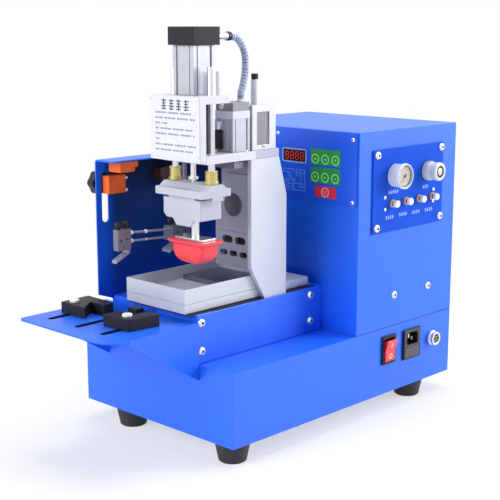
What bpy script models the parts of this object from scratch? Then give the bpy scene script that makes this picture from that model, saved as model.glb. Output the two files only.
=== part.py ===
"""Pad printing machine, modelled in metres with +Z up.

Everything is laid out in the machine's own frame: X = 0 on the base's middle, Y = 0 on the base's
front face, Z = 0 on its underside. At the end all pieces move together, so that the origin lies
under the middle of the whole machine, on the surface that its feet stand on.
"""
import math

import bmesh
import bpy
from mathutils import Matrix, Vector

# Clearances shared by all pieces
GAP = 0.0003
RUNNING = 0.0005
OVERCUT = 0.004

# Counts of sides for round pieces
FINE_SIDES = 32
ROUND_SIDES = 24
PIN_SIDES = 12
KEY_SIDES = 20
VALVE_SIDES = 16
ARC_STEPS = 4

# Base box, bottom cover and feet
BASE_WIDTH = 0.2362
BASE_LENGTH = 0.380
BASE_HEIGHT = 0.0796
SHEET = 0.0020
CABLE_HOLE_WIDTH = 0.060
CABLE_HOLE_LENGTH = 0.024
CABLE_HOLE_INSET = 0.030
FOOT_HEIGHT = 0.0210
FOOT_TOP_DIAMETER = 0.0380
FOOT_BOTTOM_DIAMETER = 0.0300
FOOT_BOTTOM_ROUND = 0.0015
RIGHT_FEET_INSET = 0.0205
LEFT_FEET_INSET = 0.0570
FRONT_FEET_Y = 0.0195
REAR_FEET_Y = 0.3220

# Slide housing on the base
PLATFORM_WIDTH = 0.1350
PLATFORM_LENGTH = 0.1960
PLATFORM_HEIGHT = 0.0522

# Control box on the rear of the base
BOX_HEIGHT = 0.2290

# Work table
TABLE_LEFT = -0.0800
TABLE_RIGHT = 0.0690
TABLE_FRONT = -0.1170
TABLE_TOP_Z = 0.1245
TABLE_RIGHT_ROUND = 0.0250
TABLE_LEFT_ROUND = 0.0060
TABLE_FLANGE_DEPTH = 0.0245
TABLE_SLOT_PLACES = (-0.0550, -0.0100, 0.0310)
TABLE_SLOT_WIDTH = 0.0050
TABLE_SLOT_FRONT = -0.0955
TABLE_SLOT_REAR = -0.0350
GUSSET_TIP_INSET = 0.0120
GUSSET_TIP_DEPTH = 0.0030
GUSSET_DEPTH = 0.0615
GUSSET_NOTCH_SHARES = (0.12, 0.43)
GUSSET_NOTCH = 0.0030

# Clamps on the table
CLAMP_HEIGHT = 0.0120
CLAMP_ROUND = 0.0040
CLAMP_SCREW_DIAMETER = 0.0040
CLAMP_HEAD_DIAMETER = 0.0095
CLAMP_HEAD_HEIGHT = 0.0026
CLAMP_NUT_DIAMETER = 0.0095
CLAMP_NUT_HEIGHT = 0.0040
CLAMP_SIZE = 0.0390
CLAMP_ARM = 0.0160
LEFT_CLAMP_SIDE_SHARE = 0.30
LEFT_CLAMP_SIZE_SHARES = (-0.23, -0.21, 0.32, 0.34, 0.69, 0.73)
LEFT_CLAMP_ARM_SHARES = (0.35, 0.25, -0.05)
RIGHT_CLAMP_SIDE_SHARE = 0.38
RIGHT_CLAMP_SIZE_SHARES = (-0.30, -0.24, 0.72, 0.72, 0.22, 0.18)
RIGHT_CLAMP_EDGE_SHARES = (-0.04, 0.06)
RIGHT_CLAMP_ARM_SHARE = 0.90
CLAMP_NUT_SIDES = 6
LEFT_CLAMP_SCREW_Y = -0.0630
RIGHT_CLAMP_SCREW_Y = -0.0630
STOP_CUBE = 0.0110
STOP_CUBE_REACH = 0.0180

# Guard on the platform's left side, with what it carries
GUARD_FRONT = -0.0200
GUARD_TOP_Z = 0.2830
GUARD_FLANGE = 0.0295
GUARD_BEND = 0.0040
GUARD_SKIRT = 0.0350
GUARD_NOSE_Z = 0.1360
GUARD_HEEL_Z = 0.1275
GUARD_SLOT_WIDTH = 0.0085
GUARD_SLOT_Y = -0.0080
GUARD_SLOT_BOTTOM_Z = 0.2138
GUARD_SLOT_TOP_Z = 0.2680
SLOT_BLOCK_DEPTH = 0.0108
SLOT_BLOCK_FRONT = -0.0106
SLOT_BLOCK_LENGTH = 0.0241
SLOT_BLOCK_HEIGHT = 0.0190
SLOT_BLOCK_BOTTOM_Z = 0.2470
STAR_KNOB_DIAMETER = 0.0270
STAR_KNOB_WIDTH = 0.0120
STAR_KNOB_LOBES = 6
STAR_KNOB_LOBE_STEPS = 6
STAR_KNOB_LOBE_SHARE = 0.14
STAR_KNOB_HUB_DIAMETER = 0.0130
STAR_KNOB_HUB_WIDTH = 0.0020
STAR_KNOB_STUD_DIAMETER = 0.0040
STAR_KNOB_STUD_BITE = 0.0060

# Slide rails, carriage plate and drive cylinder inside
RAIL_SPREAD = 0.0800
RAIL_WIDTH = 0.0120
RAIL_HEIGHT = 0.0100
RAIL_BED = 0.0015
RAIL_END_INSET = 0.0060
SLIDE_FORWARD = -0.0800
SLIDE_BACK = 0.0500
SHOE_WIDTH = 0.0220
SHOE_HEIGHT = 0.0240
CARRIAGE_PLATE_THICKNESS = 0.0070
CARRIAGE_LEFT = -0.0540
DRIVE_AXIS_RISE = 0.0170
DRIVE_SIZE = 0.0250
DRIVE_BORE = 0.0200
DRIVE_WALL = 0.0040
DRIVE_REAR = 0.3720
DRIVE_ROD_DIAMETER = 0.0080
DRIVE_PISTON_LENGTH = 0.0100
DRIVE_PISTON_Y = 0.2850
DRIVE_MOUNT_HEIGHT = 0.0040

# Ink tray with its base plate and steel plate
TRAY_LEFT = -0.0340
TRAY_RIGHT = 0.0575
TRAY_FRONT = -0.0090
TRAY_BASE_REAR = 0.1820
TRAY_REAR = 0.1300
TRAY_SPACER = 0.0012
TRAY_SPACER_SIZE = 0.0120
TRAY_BASE_THICKNESS = 0.0093
TRAY_HEIGHT = 0.0160
TRAY_WALL = 0.0018
STEEL_SIDE_MARGIN = 0.0060
STEEL_FRONT = 0.0680
STEEL_REAR = 0.1240
STEEL_THICKNESS = 0.0050

# Column
COLUMN_RIGHT = 0.0640
COLUMN_PLATE = 0.0055
COLUMN_LEFT = 0.0020
COLUMN_FRONT = 0.0824
COLUMN_WAIST_Z = 0.1680
COLUMN_FOOT_FRONT = 0.1033
COLUMN_FOOT_REAR = 0.1378
COLUMN_FOOT_Z = 0.0980
COLUMN_REAR_Z = 0.2427
COLUMN_TOP_REAR = 0.1256
COLUMN_TOP_Z = 0.2850
WEB_FRONT = 0.0900
WEB_THICKNESS = 0.0050
WEB_BOTTOM_Z = 0.1635
LEFT_PLATE_REAR = 0.1360
WEB_NOTCH_RIGHT = 0.0116
WEB_NOTCH_Z = 0.2500
WEB_WINDOW_DIAMETER = 0.0244
WEB_WINDOW_X = 0.0294
WEB_WINDOW_Z = 0.2324
WEB_UPPER_SLOTS = (0.0203, 0.0397)
WEB_UPPER_SLOT_Z = 0.1935
WEB_UPPER_SLOT_WIDTH = 0.0160
WEB_UPPER_SLOT_HEIGHT = 0.0080
WEB_LOWER_SLOTS = (0.0145, 0.0295, 0.0445)
WEB_LOWER_SLOT_Z = 0.1785
WEB_LOWER_SLOT_WIDTH = 0.0115
WEB_LOWER_SLOT_HEIGHT = 0.0060

# Arm plate and column cap
ARM_LEFT = 0.0000
ARM_RIGHT = 0.0660
ARM_FRONT = 0.0160
ARM_REAR = 0.0870
ARM_THICKNESS = 0.0087
ARM_TONGUE_LEFT = 0.0140
ARM_TONGUE_RIGHT = 0.0520
ARM_TONGUE_REAR = 0.1100
ARM_LIP_MARGIN = 0.0060
ARM_LIP_THICKNESS = 0.0055
CAP_REAR = 0.1250

# Head bracket, main cylinder and its cap
HEAD_X = 0.0330
HEAD_Y = 0.0280
FRONT_PLATE_LEFT = -0.0045
FRONT_PLATE_RIGHT = 0.0705
FRONT_PLATE_FRONT = 0.0026
FRONT_PLATE_THICKNESS = 0.0084
FRONT_PLATE_BOTTOM_Z = 0.2880
HEAD_TOP_Z = 0.3540
TOP_PLATE_THICKNESS = 0.0080
TOP_PLATE_INSET = 0.0025
TOP_PLATE_REAR = 0.0470
CYLINDER_SIZE = 0.0350
CYLINDER_HEIGHT = 0.0493
CYLINDER_GROOVE = 0.0140
CYLINDER_GROOVE_DEPTH = 0.0020
CYLINDER_BORE = 0.0240
CYLINDER_CORNER = 0.0040
CAP_SIZE = 0.0400
CAP_HEIGHT = 0.0183
CAP_ROUND = 0.0020
FITTING_X = 0.0450
FITTING_RISE = 0.0085
FITTING_STUB_DIAMETER = 0.0062
FITTING_STUB_LENGTH = 0.0170
FITTING_RING_DIAMETER = 0.0090
FITTING_RING_LENGTH = 0.0058
PISTON_CLEARANCE = 0.0004
PISTON_LENGTH = 0.0080
PISTON_TOP_INSET = 0.0090

# Guide rods, bushings, holder, stem and pad
ROD_SPREAD = 0.0544
ROD_DIAMETER = 0.0078
ROD_TOP_Z = 0.3830
ROD_DOME = 0.0025
PISTON_ROD_DIAMETER = 0.0060
COUPLING_DIAMETER = 0.0110
COUPLING_HEIGHT = 0.0030
COUPLING_NECK_DIAMETER = 0.0050
COUPLING_NECK_HEIGHT = 0.0026
BUSHING_DIAMETER = 0.0130
BUSHING_HEIGHT = 0.0137
BUSHING_COLLAR = 0.0030
BUSHING_COLLAR_DIAMETER = 0.0150
HOLDER_TOP_LEFT = -0.0015
HOLDER_TOP_RIGHT = 0.0685
HOLDER_TOP_FRONT = 0.0055
HOLDER_TOP_REAR = 0.0477
HOLDER_TOP_BOTTOM_Z = 0.2510
HOLDER_TOP_PLATE = 0.0082
HOLDER_TOP_RISE = 0.0048
HOLDER_LEDGE_FRONT = 0.0110
HOLDER_LEDGE_REAR = 0.0421
HOLDER_RIDGE_FRONT = 0.0176
HOLDER_RIDGE_REAR = 0.0364
HOLDER_TONGUE_LEFT = 0.0598
HOLDER_TONGUE_FRONT = 0.0196
HOLDER_TONGUE_REAR = 0.0380
HOLDER_TONGUE_SLOPE = 0.0020
HOLDER_TONGUE_DROP = 0.0042
HOLDER_LEFT = 0.0038
HOLDER_RIGHT = 0.0595
HOLDER_FRONT = 0.0120
HOLDER_REAR = 0.0425
HOLDER_COVER = 0.0040
HOLDER_SIDE_Z = 0.2308
HOLDER_STEP_Z = 0.2266
HOLDER_BOTTOM_Z = 0.2195
HOLDER_STEP = 0.0090
HOLDER_STEP_SLOPE = 0.0050
HOLDER_BOSS_LEFT = 0.0232
HOLDER_BOSS_RIGHT = 0.0442
HOLDER_BOSS_SLOPE = 0.0041
HOLDER_NECK_INSET = 0.0080
HOLDER_NECK_HEIGHT = 0.0027
PAD_X = 0.0350
PAD_TOP_Z = 0.2038
PAD_WIDTH = 0.0560
PAD_DEPTH = 0.0316
PAD_FLANGE_HEIGHT = 0.0038
PAD_BODY_WIDTH = 0.0461
PAD_BODY_DEPTH = 0.0241
PAD_BODY_HEIGHT = 0.0220
PAD_CORNER_SHARE = 0.16
PAD_TIP_WIDTH_SHARE = 0.25
PAD_TIP_DEPTH_SHARE = 0.45
PAD_STEPS = 6
STEM_DIAMETER = 0.0088
STEM_PLATE_THICKNESS = 0.0022
STEM_PLATE_WIDTH = 0.0420
STEM_PLATE_DEPTH = 0.0190

# Scraper cylinder, frame, blocks and thumbscrews
SCRAPER_X = 0.0495
SCRAPER_Y = 0.0695
SCRAPER_SIZE = 0.0254
SCRAPER_HEIGHT = 0.0340
SCRAPER_CAP_HEIGHT = 0.0170
SCRAPER_CAP_GROOVE = 0.0010
SCRAPER_BORE = 0.0160
SCRAPER_ROD_DIAMETER = 0.0060
SCRAPER_PISTON_RISE = 0.0230
CROSSBAR_LEFT = -0.0330
CROSSBAR_RIGHT = 0.0570
CROSSBAR_FRONT = 0.0640
CROSSBAR_REAR = 0.0780
CROSSBAR_BOTTOM_Z = 0.2760
CROSSBAR_HEIGHT = 0.0070
HANGER_X = -0.0270
HANGER_Y = 0.0710
HANGER_DIAMETER = 0.0060
REAR_JAW_LEFT = -0.0380
REAR_JAW_WIDTH = 0.0140
REAR_JAW_FRONT = 0.0485
REAR_JAW_LENGTH = 0.0271
REAR_JAW_BOTTOM_Z = 0.1910
REAR_JAW_HEIGHT = 0.0160
FRONT_JAW_LEFT = -0.0320
FRONT_JAW_WIDTH = 0.0080
FRONT_JAW_FRONT = -0.0275
FRONT_JAW_LENGTH = 0.0178
FRONT_JAW_BOTTOM_Z = 0.1900
FRONT_JAW_HEIGHT = 0.0226
BLADE_THICKNESS = 0.0040
BLADE_DROP = 0.0130
BLADE_REACH = 0.0055
THIN_ROD_DIAMETER = 0.0026
THIN_ROD_X = -0.0280
UPPER_THIN_ROD_FRONT_Z = 0.2075
UPPER_THIN_ROD_REAR_Z = 0.2035
LOWER_THIN_ROD_FRONT_Z = 0.1985
LOWER_THIN_ROD_REAR_Z = 0.1955
THUMBSCREW_DIAMETER = 0.0070
THUMBSCREW_HEIGHT = 0.0080
THUMBSCREW_NECK_DIAMETER = 0.0040
THUMBSCREW_NECK = 0.0020

# Stop bracket and stop screw
STOP_LEFT = 0.0360
STOP_FRONT = 0.0840
STOP_REAR = 0.1200
STOP_TOP_Z = 0.3410
STOP_TOP_BAR = 0.0070
STOP_BOTTOM_BAR = 0.0050
STOP_FRONT_WALL = 0.0070
STOP_REAR_WALL = 0.0100
STOP_RECESS_DEPTH = 0.0200
STOP_SCREW_X = 0.0500
STOP_SCREW_Y = 0.1020
STOP_SCREW_DIAMETER = 0.0094
STOP_SCREW_ROOT_DIAMETER = 0.0082
STOP_SCREW_BOTTOM_Z = 0.3120
STOP_SCREW_TOP_Z = 0.3675
STOP_SCREW_PITCH = 0.0035
STOP_SCREW_END_DIAMETER = 0.0075
STOP_SCREW_END_HEIGHT = 0.0060

# Air hose from the main cap to the scraper cylinder's cap
HOSE_DIAMETER = 0.0075
HOSE_ROOT_DIAMETER = 0.0064
HOSE_BORE = 0.0040
HOSE_RIBS = 22
HOSE_CURVE_STEPS = 12
HOSE_END_X = 0.0530
HOSE_END_Y = 0.0780
HOSE_ROUTE = (
    (0.0460, 0.0855, 0.4060),
    (0.0475, 0.0888, 0.3950),
    (0.0490, 0.0886, 0.3820),
    (0.0508, 0.0856, 0.3700),
    (0.0524, 0.0806, 0.3590),
)

# Control panel with its keys, and the board behind it
PANEL_LEFT = -0.0090
PANEL_RIGHT = 0.1160
PANEL_BOTTOM_DROP = 0.0824
PANEL_TOP_DROP = 0.0006
PANEL_THICKNESS = 0.0015
PANEL_SCREW_INSET = 0.0070
KEY_DIAMETER = 0.0116
KEY_PROUD = 0.0006
KEY_TRAVEL = 0.0006
KEY_COLUMNS = (0.0567, 0.0713, 0.0860)
KEY_ROW_DROPS = (0.0327, 0.0531)
RED_KEY_X = 0.0717
RED_KEY_DROP = 0.0696
DISPLAY_LEFT = 0.0070
DISPLAY_RIGHT = 0.0407
DISPLAY_BOTTOM_DROP = 0.0383
DISPLAY_TOP_DROP = 0.0248
PANEL_WINDOW_MARGIN = 0.0100
BOARD_DEPTH = 0.0016
BOARD_POST = 0.0040
BOARD_POST_DIAMETER = 0.0060
KEY_SWITCH_DIAMETER = 0.0060
TRANSFORMER_SIZE = 0.0460
TRANSFORMER_DEPTH = 0.0300
TRANSFORMER_INSET = 0.0080

# Pneumatic panel with gauge, regulator and flow valves
AIR_PANEL_FRONT_SHARE = 0.125
AIR_PANEL_REAR_SHARE = 0.847826
AIR_PANEL_BOTTOM_DROP = 0.1156
AIR_PANEL_TOP_DROP = 0.0211
AIR_PANEL_THICKNESS = 0.0015
AIR_PANEL_SCREW_INSET = 0.0075
GAUGE_PLACE_SHARE = 0.331522
GAUGE_DROP = 0.0516
GAUGE_DIAMETER = 0.0290
GAUGE_DEPTH = 0.0165
GAUGE_RIM = 0.0018
GAUGE_RECESS = 0.0016
GAUGE_STEM_DIAMETER = 0.0100
GAUGE_STEM_LENGTH = 0.0140
REGULATOR_PLACE_SHARE = 0.673913
REGULATOR_DROP = 0.0521
REGULATOR_DIAMETER = 0.0225
REGULATOR_DEPTH = 0.0190
REGULATOR_WAIST_SHARE = 0.86
REGULATOR_STEM_DIAMETER = 0.0100
REGULATOR_STEM_LENGTH = 0.0080
REGULATOR_BODY_SIZE = 0.0260
MANIFOLD_DEPTH = 0.0120
MANIFOLD_HEIGHT = 0.0180
SOLENOID_LENGTH = 0.0360
SOLENOID_WIDTH = 0.0200
VALVE_DROP = 0.0833
VALVE_FIRST_PLACE_SHARE = 0.317391
VALVE_PITCH_SHARE = 0.138587
VALVE_COUNT = 4
VALVE_DIAMETER = 0.0080
VALVE_PROUD = 0.0045
VALVE_INSIDE = 0.0120
VALVE_KNOB_DIAMETER = 0.0080
VALVE_KNOB_LENGTH = 0.0050
VALVE_NECK_DIAMETER = 0.0036
VALVE_NECK_LENGTH = 0.0028
VALVE_STEM_LENGTH = 0.0040

# Mains inlet, rocker switch and foot switch socket on the base's right wall
INLET_PLACE_SHARE = 0.5625
INLET_Z = 0.0516
INLET_WIDTH = 0.0330
INLET_HEIGHT = 0.0363
INLET_FLANGE = 0.0022
INLET_BODY_MARGIN = 0.0030
INLET_BODY_DEPTH = 0.0240
INLET_SOCKET_WIDTH = 0.0220
INLET_SOCKET_HEIGHT = 0.0150
INLET_SOCKET_DEPTH = 0.0140
INLET_SOCKET_RISE = 0.0065
INLET_SOCKET_CHAMFER = 0.0040
INLET_PIN_WIDTH = 0.0020
INLET_PIN_HEIGHT = 0.0040
INLET_PIN_LENGTH = 0.0080
INLET_PIN_SPREAD = 0.0070
SWITCH_PLACE_SHARE = 0.323370
SWITCH_Z = 0.0530
SWITCH_WIDTH = 0.0250
SWITCH_HEIGHT = 0.0340
SWITCH_FLANGE = 0.0022
SWITCH_BODY_DEPTH = 0.0200
SWITCH_BODY_MARGIN = 0.0015
SWITCH_POCKET_WIDTH = 0.0190
SWITCH_POCKET_HEIGHT = 0.0266
SWITCH_POCKET_DEPTH = 0.0130
ROCKER_HEIGHT = 0.0250
ROCKER_HALF_ANGLE = math.radians(8.0)
ROCKER_PIVOT_DEPTH = 0.0030
ROCKER_FACE = 0.0050
ROCKER_BACK = 0.0045
SOCKET_PLACE_SHARE = 0.788043
SOCKET_Z = 0.0500
SOCKET_DIAMETER = 0.0170
SOCKET_PROUD = 0.0084
SOCKET_BARREL_DIAMETER = 0.0130
SOCKET_INSIDE = 0.0120
SOCKET_RECESS_DIAMETER = 0.0110
SOCKET_RECESS_DEPTH = 0.0060

# Colours, as linear RGB, and surface finish
BLUE_PAINT = ((0.010, 0.090, 0.760), 0.45, 0.0)
DARK_BLUE = ((0.012, 0.075, 0.560), 0.50, 0.0)
ALUMINIUM = ((0.700, 0.710, 0.750), 0.35, 1.0)
POLISHED_STEEL = ((0.250, 0.260, 0.290), 0.20, 1.0)
STEEL = ((0.600, 0.610, 0.640), 0.30, 1.0)
WHITE_METAL = ((0.800, 0.800, 0.860), 0.40, 0.2)
BLACK_PLASTIC = ((0.020, 0.020, 0.024), 0.50, 0.0)
BLACK_RUBBER = ((0.016, 0.016, 0.018), 0.80, 0.0)
ORANGE_PLASTIC = ((0.740, 0.140, 0.014), 0.50, 0.0)
RED_RUBBER = ((0.860, 0.080, 0.100), 0.60, 0.0)
RED_PLASTIC = ((0.740, 0.022, 0.050), 0.35, 0.0)
GREEN_PLASTIC = ((0.014, 0.390, 0.117), 0.40, 0.0)
BRASS = ((0.580, 0.510, 0.216), 0.30, 1.0)
HOSE_PLASTIC = ((0.274, 0.367, 0.604), 0.45, 0.0)
GREEN_BOARD = ((0.020, 0.180, 0.060), 0.60, 0.0)

# Heights and walls that several pieces share
BASE_RIGHT = BASE_WIDTH / 2
BASE_LEFT = -BASE_WIDTH / 2
BASE_TOP = BASE_HEIGHT
PLATFORM_RIGHT = PLATFORM_WIDTH / 2
PLATFORM_LEFT = -PLATFORM_WIDTH / 2
PLATFORM_BOTTOM = BASE_TOP + GAP
PLATFORM_TOP = BASE_TOP + PLATFORM_HEIGHT
BOX_FRONT = PLATFORM_LENGTH
BOX_BOTTOM = BASE_TOP + GAP
BOX_TOP = BASE_TOP + BOX_HEIGHT
TRAY_BASE_BOTTOM = PLATFORM_TOP + TRAY_SPACER
TRAY_BASE_TOP = TRAY_BASE_BOTTOM + TRAY_BASE_THICKNESS
TRAY_BOTTOM = TRAY_BASE_TOP + GAP
TRAY_RIM = TRAY_BASE_TOP + TRAY_HEIGHT
TRAY_FLOOR = TRAY_BOTTOM + TRAY_WALL
ARM_BOTTOM = COLUMN_TOP_Z + GAP
ARM_TOP = ARM_BOTTOM + ARM_THICKNESS
CYLINDER_BOTTOM = HEAD_TOP_Z + GAP
CYLINDER_TOP = CYLINDER_BOTTOM + CYLINDER_HEIGHT
CAP_BOTTOM = CYLINDER_TOP + GAP
CAP_TOP = CAP_BOTTOM + CAP_HEIGHT
HOLDER_TOP_TOP = HOLDER_TOP_BOTTOM_Z + HOLDER_TOP_PLATE + HOLDER_TOP_RISE
SCRAPER_BOTTOM = ARM_TOP + GAP
SCRAPER_TOP = SCRAPER_BOTTOM + SCRAPER_HEIGHT
SCRAPER_CAP_TOP = SCRAPER_TOP + SCRAPER_CAP_HEIGHT
CROSSBAR_TOP = CROSSBAR_BOTTOM_Z + CROSSBAR_HEIGHT
STOP_BOTTOM = ARM_TOP + GAP
DRIVE_AXIS_Z = BASE_TOP + DRIVE_AXIS_RISE
PANEL_REAR = BOX_FRONT - GAP
PANEL_FRONT = PANEL_REAR - PANEL_THICKNESS
AIR_PANEL_INNER = BASE_RIGHT + GAP
AIR_PANEL_OUTER = AIR_PANEL_INNER + AIR_PANEL_THICKNESS
PANEL_BOTTOM_Z = BOX_TOP - PANEL_BOTTOM_DROP
PANEL_TOP_Z = BOX_TOP - PANEL_TOP_DROP
RED_KEY_Z = BOX_TOP - RED_KEY_DROP
DISPLAY_BOTTOM_Z = BOX_TOP - DISPLAY_BOTTOM_DROP
DISPLAY_TOP_Z = BOX_TOP - DISPLAY_TOP_DROP
AIR_PANEL_BOTTOM_Z = BOX_TOP - AIR_PANEL_BOTTOM_DROP
AIR_PANEL_TOP_Z = BOX_TOP - AIR_PANEL_TOP_DROP
GAUGE_Z = BOX_TOP - GAUGE_DROP
REGULATOR_Z = BOX_TOP - REGULATOR_DROP
VALVE_Z = BOX_TOP - VALVE_DROP
KEY_ROWS = [BOX_TOP - drop for drop in KEY_ROW_DROPS]
BOX_LENGTH = BASE_LENGTH - BOX_FRONT
AIR_PANEL_FRONT = BOX_FRONT + BOX_LENGTH * AIR_PANEL_FRONT_SHARE
AIR_PANEL_REAR = BOX_FRONT + BOX_LENGTH * AIR_PANEL_REAR_SHARE
GAUGE_Y = BOX_FRONT + BOX_LENGTH * GAUGE_PLACE_SHARE
REGULATOR_Y = BOX_FRONT + BOX_LENGTH * REGULATOR_PLACE_SHARE
VALVE_FIRST_Y = BOX_FRONT + BOX_LENGTH * VALVE_FIRST_PLACE_SHARE
INLET_Y = BOX_FRONT + BOX_LENGTH * INLET_PLACE_SHARE
SWITCH_Y = BOX_FRONT + BOX_LENGTH * SWITCH_PLACE_SHARE
SOCKET_Y = BOX_FRONT + BOX_LENGTH * SOCKET_PLACE_SHARE
VALVE_PITCH = BOX_LENGTH * VALVE_PITCH_SHARE
FITTING_Y = HEAD_Y + CAP_SIZE / 2
FITTING_Z = CAP_BOTTOM + FITTING_RISE
FITTING_END = FITTING_Y + FITTING_STUB_LENGTH + FITTING_RING_LENGTH

for old in list(bpy.data.objects):
    bpy.data.objects.remove(old, do_unlink=True)


def material_for(name, look):
    """One Principled material for each sub-part."""
    colour, roughness, metallic = look
    material = bpy.data.materials.new(name + "_finish")
    material.use_nodes = True
    shader = material.node_tree.nodes["Principled BSDF"]
    shader.inputs["Base Color"].default_value = (*colour, 1.0)
    shader.inputs["Roughness"].default_value = roughness
    shader.inputs["Metallic"].default_value = metallic
    return material


def place(axis, first, second, along):
    """A point from its two places across an axis and its place along it."""
    if axis == "X":
        return (along, first, second)
    if axis == "Y":
        return (first, along, second)
    return (first, second, along)


def object_from(bm, name="shape"):
    """A new object that holds a bmesh."""
    mesh = bpy.data.meshes.new(name)
    bmesh.ops.recalc_face_normals(bm, faces=bm.faces)
    if bm.calc_volume(signed=True) < 0:
        bmesh.ops.reverse_faces(bm, faces=bm.faces)
    bm.to_mesh(mesh)
    bm.free()
    obj = bpy.data.objects.new(name, mesh)
    bpy.context.scene.collection.objects.link(obj)
    return obj


def prism(outline, axis, start, end):
    """A flat outline pulled along an axis."""
    bm = bmesh.new()
    corners = [bm.verts.new(place(axis, a, b, start)) for a, b in outline]
    face = bm.faces.new(corners)
    grown = bmesh.ops.extrude_face_region(bm, geom=[face])["geom"]
    moved = [item for item in grown if isinstance(item, bmesh.types.BMVert)]
    bmesh.ops.translate(bm, vec=place(axis, 0, 0, end - start), verts=moved)
    return object_from(bm)


def rectangle(a0, a1, b0, b1):
    """The four corners of a rectangle, in turn."""
    return [(a0, b0), (a1, b0), (a1, b1), (a0, b1)]


def box(x0, x1, y0, y1, z0, z1):
    """A block between two corners."""
    return prism(rectangle(x0, x1, y0, y1), "Z", z0, z1)


def circle(a, b, radius, sides=ROUND_SIDES):
    """Points round a circle."""
    turns = [2 * math.pi * step / sides for step in range(sides)]
    return [(a + radius * math.cos(turn), b + radius * math.sin(turn)) for turn in turns]


def cylinder(axis, a, b, radius, start, end, sides=ROUND_SIDES):
    """A round bar along an axis."""
    return prism(circle(a, b, radius, sides), axis, start, end)


def rounded(outline, radii):
    """An outline whose corners are turned into arcs where their radius isn't zero."""
    points = []
    for index, corner in enumerate(outline):
        radius = radii[index]
        here = Vector(corner)
        back = (Vector(outline[index - 1]) - here).normalized()
        ahead = (Vector(outline[(index + 1) % len(outline)]) - here).normalized()
        if radius == 0:
            points.append(tuple(here))
            continue
        half = back.angle(ahead) / 2
        reach = radius / math.tan(half)
        centre = here + (back + ahead).normalized() * (radius / math.sin(half))
        first = here + back * reach - centre
        last = here + ahead * reach - centre
        sweep = first.angle_signed(last)
        for step in range(ARC_STEPS + 1):
            turn = Matrix.Rotation(-sweep * step / ARC_STEPS, 2)
            points.append(tuple(centre + turn @ first))
    return points


def slot_outline(a, b, width, height):
    """A slot with round ends: its longer side is the straight one."""
    radius = min(width, height) / 2
    corners = rectangle(a - width / 2, a + width / 2, b - height / 2, b + height / 2)
    return rounded(corners, [radius * (1 - GAP)] * len(corners))


def turned(axis, a, b, profile, sides=ROUND_SIDES):
    """A profile of (radius, place along) turned round an axis."""
    bm = bmesh.new()
    verts = [bm.verts.new(place(axis, a + radius, b, along)) for radius, along in profile]
    edges = [bm.edges.new(pair) for pair in zip(verts, verts[1:])]
    bmesh.ops.spin(bm, geom=verts + edges, cent=place(axis, a, b, 0), axis=place(axis, 0, 0, 1),
                   angle=2 * math.pi, steps=sides, use_merge=True)
    bmesh.ops.remove_doubles(bm, verts=bm.verts, dist=GAP / 100)
    return object_from(bm)


def combine(target, others, operation):
    """Apply a Boolean of several shapes to one, and remove them."""
    for other in others:
        modifier = target.modifiers.new("combine", "BOOLEAN")
        modifier.operation = operation
        modifier.solver = "EXACT"
        modifier.object = other
        bpy.context.view_layer.update()
        evaluated = target.evaluated_get(bpy.context.evaluated_depsgraph_get())
        mesh = bpy.data.meshes.new_from_object(evaluated)
        target.modifiers.clear()
        target.data = mesh
        bpy.data.objects.remove(other, do_unlink=True)
    return target


def cut(target, *others):
    """Take shapes out of a solid."""
    return combine(target, others, "DIFFERENCE")


def fuse(target, *others):
    """Weld shapes to a solid."""
    return combine(target, others, "UNION")


def part(name, shape, look, pivot=(0, 0, 0)):
    """Name a sub-part, give it its material, and set its origin on its joint."""
    shape.name = name
    shape.data.name = name
    bm = bmesh.new()
    bm.from_mesh(shape.data)
    bmesh.ops.translate(bm, vec=-Vector(pivot), verts=bm.verts)
    bmesh.ops.triangulate(bm, faces=[face for face in bm.faces if len(face.verts) > 4])
    bm.to_mesh(shape.data)
    bm.free()
    shape.location = pivot
    shape.data.materials.clear()
    shape.data.materials.append(material_for(name, look))
    shape.data.shade_smooth()
    shape.data.set_sharp_from_angle(angle=math.radians(32))
    return shape


def base_shell():
    """Five-sided sheet box with a cable hole in its top and three cut-outs in its right wall."""
    shape = box(BASE_LEFT, BASE_RIGHT, 0, BASE_LENGTH, 0, BASE_HEIGHT)
    cut(shape, box(BASE_LEFT + SHEET, BASE_RIGHT - SHEET, SHEET, BASE_LENGTH - SHEET,
                   -OVERCUT, BASE_HEIGHT - SHEET))
    hole_rear = BASE_LENGTH - CABLE_HOLE_INSET
    hole_right = BASE_RIGHT - CABLE_HOLE_INSET
    cut(shape, box(hole_right - CABLE_HOLE_WIDTH, hole_right, hole_rear - CABLE_HOLE_LENGTH, hole_rear,
                   BASE_HEIGHT - SHEET - OVERCUT, BASE_HEIGHT + OVERCUT))
    wall = (BASE_RIGHT - SHEET - OVERCUT, BASE_RIGHT + OVERCUT)
    inlet = body_outline(INLET_Y, INLET_Z, INLET_WIDTH, INLET_HEIGHT, INLET_BODY_MARGIN - GAP)
    switch = body_outline(SWITCH_Y, SWITCH_Z, SWITCH_WIDTH, SWITCH_HEIGHT, SWITCH_BODY_MARGIN - GAP)
    cut(shape, prism(inlet, "X", *wall))
    cut(shape, prism(switch, "X", *wall))
    cut(shape, cylinder("X", SOCKET_Y, SOCKET_Z, SOCKET_BARREL_DIAMETER / 2 + GAP, *wall))
    return part("base_shell", shape, BLUE_PAINT)


def body_outline(y, z, width, height, margin):
    """The outline of a body behind a flange, in from the flange by a margin."""
    half_width = width / 2 - margin
    half_height = height / 2 - margin
    return rectangle(y - half_width, y + half_width, z - half_height, z + half_height)


def bottom_cover():
    """Flat sheet that closes the base from below."""
    inset = SHEET + GAP
    return part("bottom_cover", box(BASE_LEFT + inset, BASE_RIGHT - inset, inset, BASE_LENGTH - inset,
                                    0, SHEET), DARK_BLUE)


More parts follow.
